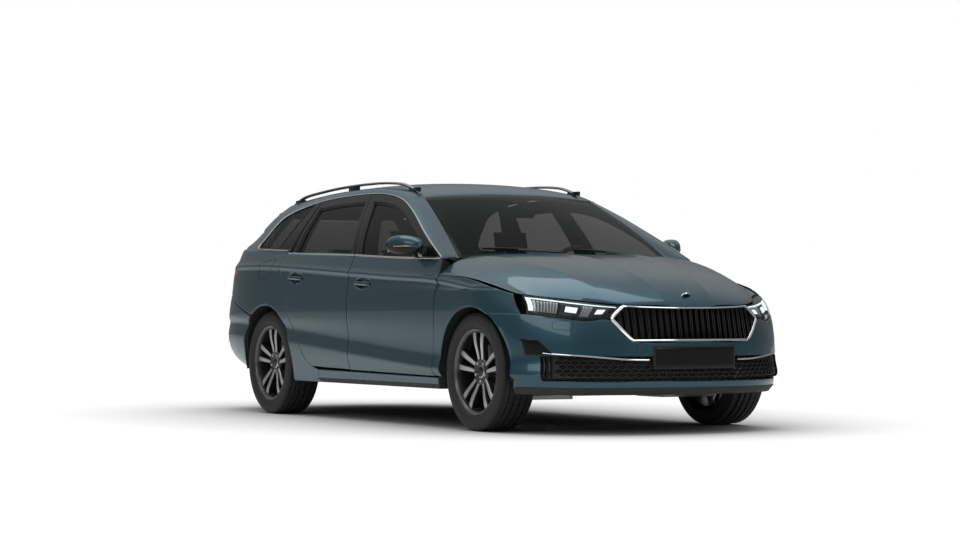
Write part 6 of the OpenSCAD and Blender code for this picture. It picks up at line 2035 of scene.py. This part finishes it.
    def _steering(self) -> None:
        """Steering wheel on its raked column."""
        axis = np.array([-math.cos(math.radians(25)), 0, math.sin(math.radians(25))])
        turn = Matrix.Translation((470, 372, 900)) @ Vector((0, 1,
                                                             0)).rotation_difference(Vector(axis)).to_matrix().to_4x4()
        ring_pts = [[170 + 15 * math.cos(a), 14 * math.sin(a)] for a in np.arange(20) * 2 * math.pi / 20]
        rim = lathe(ring_pts, 96, True).moved(turn)
        build("steering_rim", rim, [HIDE], "steering_wheel", ["steering_wheel"], 60)
        hub = lathe([[0, 20], [38, 19], [58, 12], [66, 0], [62, -16], [30, -40], [18, -60], [18, -242], [0, -242]], 48,
                    False)
        arms = NOTHING
        for deg in (0, 180, 270):
            a = math.radians(deg)
            arm = block((112, 12, 30), (108, -2, 0), 4).moved(Matrix.Rotation(-a, 4, "Y"))
            arms = arms + arm
        build("steering_hub", (hub + arms).moved(turn), [DASH], "steering_wheel", angle=35)
        badge = lathe([[0, 22], [20, 21.5], [22, 19], [22, 15], [0, 15]], 40, False).moved(turn)
        build("steering_disc", badge, [SATIN], "steering_wheel")
        stalks = block((20, 200, 14), (560, 372, 868), 5)
        cowl = block((150, 110, 90), (620, 372, 832), 22)
        build("column_cowl", cowl + stalks, [DASH], "body_shell", angle=35)

    def _floor(self) -> None:
        """Carpet over the pressed floor, and the pedals."""
        front = block((900, 480, 10), (250, 390, 262), 4) + block((900, 480, 10), (250, -390, 262), 4)
        build("carpets", front, [CARPET], "body_shell", angle=40)
        pedals = NOTHING
        for y, w in ((300, 50), (372, 70), (450, 50)):
            p = block((14, w, 70), (800, y, 400), 4) + block((12, 12, 150), (812, y, 500), 3)
            pedals = pedals + p
        build("pedals", pedals, [MATT], "body_shell", angle=35)


# ---------------------------------------------------------------------------------------------
# Underbody and the pieces that keep their exact shape
# ---------------------------------------------------------------------------------------------
KEPT = {
    "floor_pan": "UNDERCOAT", "wheel_arch_liners": "LINER", "engine_block": "CAST", "front_subframe": "STEEL",
    "rear_axle": "CAST", "exhaust": "PIPE", "front_knuckle_left": "CAST", "front_knuckle_right": "CAST",
}


@dataclass
class Underbody:
    """Dresses the pressed and cast pieces, and adds the inner walls of the front arches."""

    wall_y: float = 470.0

    def make(self) -> None:
        """Gives each kept piece its finish and adds the walls."""
        for side, word in ((1, "left"), (-1, "right")):
            walls = block((330, 5, 420), (1700, side * self.wall_y, 470), 1) + block((330, 5, 420),
                                                                                     (1210, side * self.wall_y, 470), 1)
            build(f"front_arch_wall_{word}", walls, [UNDERCOAT], "body_shell")
            for axle, r, name in ((AXLE_F, ARCH_F, "front"), (AXLE_R, ARCH_R, "rear")):
                a = np.radians(np.linspace(-13, 186, 90))
                path = skin(side, axle + (r - 2) * np.cos(a), HUB_Z + (r - 2) * np.sin(a), 64)
                build(f"{name}_arch_band_{word}", sweep(path, [0, side, 0], bar(4, 112, 1)), [UNDERCOAT],
                      "body_shell")
        table = {"UNDERCOAT": UNDERCOAT, "LINER": LINING, "CAST": CAST, "STEEL": STEEL, "PIPE": PIPE}
        for name, finish in KEPT.items():
            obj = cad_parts[name]
            material = table[finish].material()
            if obj.data.materials:
                for slot in obj.material_slots:
                    slot.material = material
            else:
                obj.data.materials.append(material)


# ---------------------------------------------------------------------------------------------
# Floor, light and camera
# ---------------------------------------------------------------------------------------------
@dataclass(frozen=True)
class Studio:
    """Pale floor, white surround, soft lamps and the camera."""

    place: tuple[float, float, float] = (13.410, -7.671, 0.683)
    turn: tuple[float, float] = (150.256, 0.879)
    lens: float = 93.05
    floor_reach: float = 60.0
    floor_colour: tuple[float, float, float] = (0.93, 0.93, 0.93)
    # Glow of the floor to the camera, and how far and how deep ambient occlusion paints shadow into it.
    floor_glow: tuple[float, float, float] = (1.25, 1.25, 1.25)
    glow_share: float = 0.72
    shade_reach: float = 2.0
    shade_depth: float = 2.2
    sky: tuple = ((0.0, (0.05, 0.052, 0.055)), (0.2, (0.12, 0.123, 0.128)), (0.6, (0.55, 0.55, 0.55)))
    sky_strength: float = 0.9
    mirrored_white: float = 0.12

    def make(self) -> None:
        """Sets up the picture."""
        self._floor()
        self._world()
        self._lamps()
        self._camera()

    def _floor(self) -> None:
        """Pale floor: its lit part keeps the car's real shadow, and to the camera it also glows white, darkened by
        ambient occlusion into a painted shadow under the car.
        """
        mesh = bpy.data.meshes.new("studio_floor")
        r = self.floor_reach
        mesh.from_pydata([(-r, -r, 0), (r, -r, 0), (r, r, 0), (-r, r, 0)], [], [(0, 1, 2, 3)])
        floor = bpy.data.objects.new("studio_floor", mesh)
        bpy.context.scene.collection.objects.link(floor)
        mat = bpy.data.materials.new("studio_floor")
        s = Shader(mat)
        # Ambient occlusion darkens the floor's glow: a painted shadow under the car.
        near = s.node("ShaderNodeAmbientOcclusion", None, {"Distance": self.shade_reach}, out="AO")
        diffuse = s.node("ShaderNodeBsdfDiffuse", None, {"Color": self.floor_colour})
        glow = s.node("ShaderNodeEmission", None, {"Color": self.floor_glow, "Strength": near ** self.shade_depth})
        seen = s.node("ShaderNodeLightPath", out="Is Camera Ray")
        s.finish(s.node("ShaderNodeMixShader", None, {0: seen * self.glow_share, 1: diffuse, 2: glow}))
        mesh.materials.append(mat)

    def _world(self) -> None:
        """White to the camera and through glass, a soft sky to everything else."""
        world = bpy.data.worlds.new("studio")
        bpy.context.scene.world = world
        s = Shader(world)
        height = s.node("ShaderNodeSeparateXYZ", None, {0: s.node("ShaderNodeTexCoord", out="Generated")}, out="Z")
        sky = s.node("ShaderNodeValToRGB", {"stops": self.sky}, {"Fac": height})
        soft = s.node("ShaderNodeBackground", None, {"Color": sky, "Strength": self.sky_strength})
        white = s.node("ShaderNodeBackground", None, {"Color": (1, 1, 1), "Strength": 1.0})
        camera, through, mirrored = (s.node("ShaderNodeLightPath", out=f"Is {kind} Ray")
                                     for kind in ("Camera", "Transmission", "Glossy"))
        share = camera.most(through).most(mirrored * self.mirrored_white)
        s.finish(s.node("ShaderNodeMixShader", None, {0: share, 1: soft, 2: white}))

    def _lamps(self) -> None:
        """Large soft lamps overhead and in front."""
        for name, place, aim, size, power in (
                ("lamp_top", (0.5, -1.0, 6.5), (0, 0, 0.5), (8, 5), 250),
                                              ("lamp_side", (3.5, -8.5, 3.6), (0.4, 0, 0.6), (7, 2.2), 90),
                ("lamp_front", (9.5, 1.5, 3.2), (1.6, 0, 0.5), (4, 2.4), 60)):
            light = bpy.data.lights.new(name, "AREA")
            light.shape, light.size, light.size_y, light.energy = "RECTANGLE", size[0], size[1], power
            obj = bpy.data.objects.new(name, light)
            obj.location = place
            obj.rotation_euler = (Vector(aim) - Vector(place)).to_track_quat("-Z", "Y").to_euler()
            bpy.context.scene.collection.objects.link(obj)

    def _camera(self) -> None:
        """Camera at a low three-quarter view."""
        cam = bpy.data.cameras.new("camera")
        cam.lens, cam.sensor_width = self.lens, 36.0
        obj = bpy.data.objects.new("camera", cam)
        yaw, pitch = (math.radians(a) for a in self.turn)
        obj.location = self.place
        obj.rotation_euler = (math.pi / 2 + pitch, 0, yaw - math.pi / 2)
        bpy.context.scene.collection.objects.link(obj)
        bpy.context.scene.camera = obj


def main() -> None:
    """Builds every sub-assembly, then the stage."""
    logging.basicConfig(level=logging.INFO, format="%(message)s")
    parts = [TopPanels(), SideDoors(), BodySides(), FrontEnd(), RearEnd(), Cabin(), Underbody()]
    for end, x in (("front", AXLE_F), ("rear", AXLE_R)):
        for word, side in (("left", 1), ("right", -1)):
            carrier = f"front_knuckle_{word}" if end == "front" else "body_shell"
            parts.append(Wheel(f"{end}_{word}", x, side, f"wheel_{end}_{word}", carrier))
    for part in parts:
        log.info("building %s", type(part).__name__)
        part.make()
    Studio().make()
    scene = bpy.context.scene
    scene.view_settings.view_transform = "Standard"


if __name__ == "__main__":
    main()
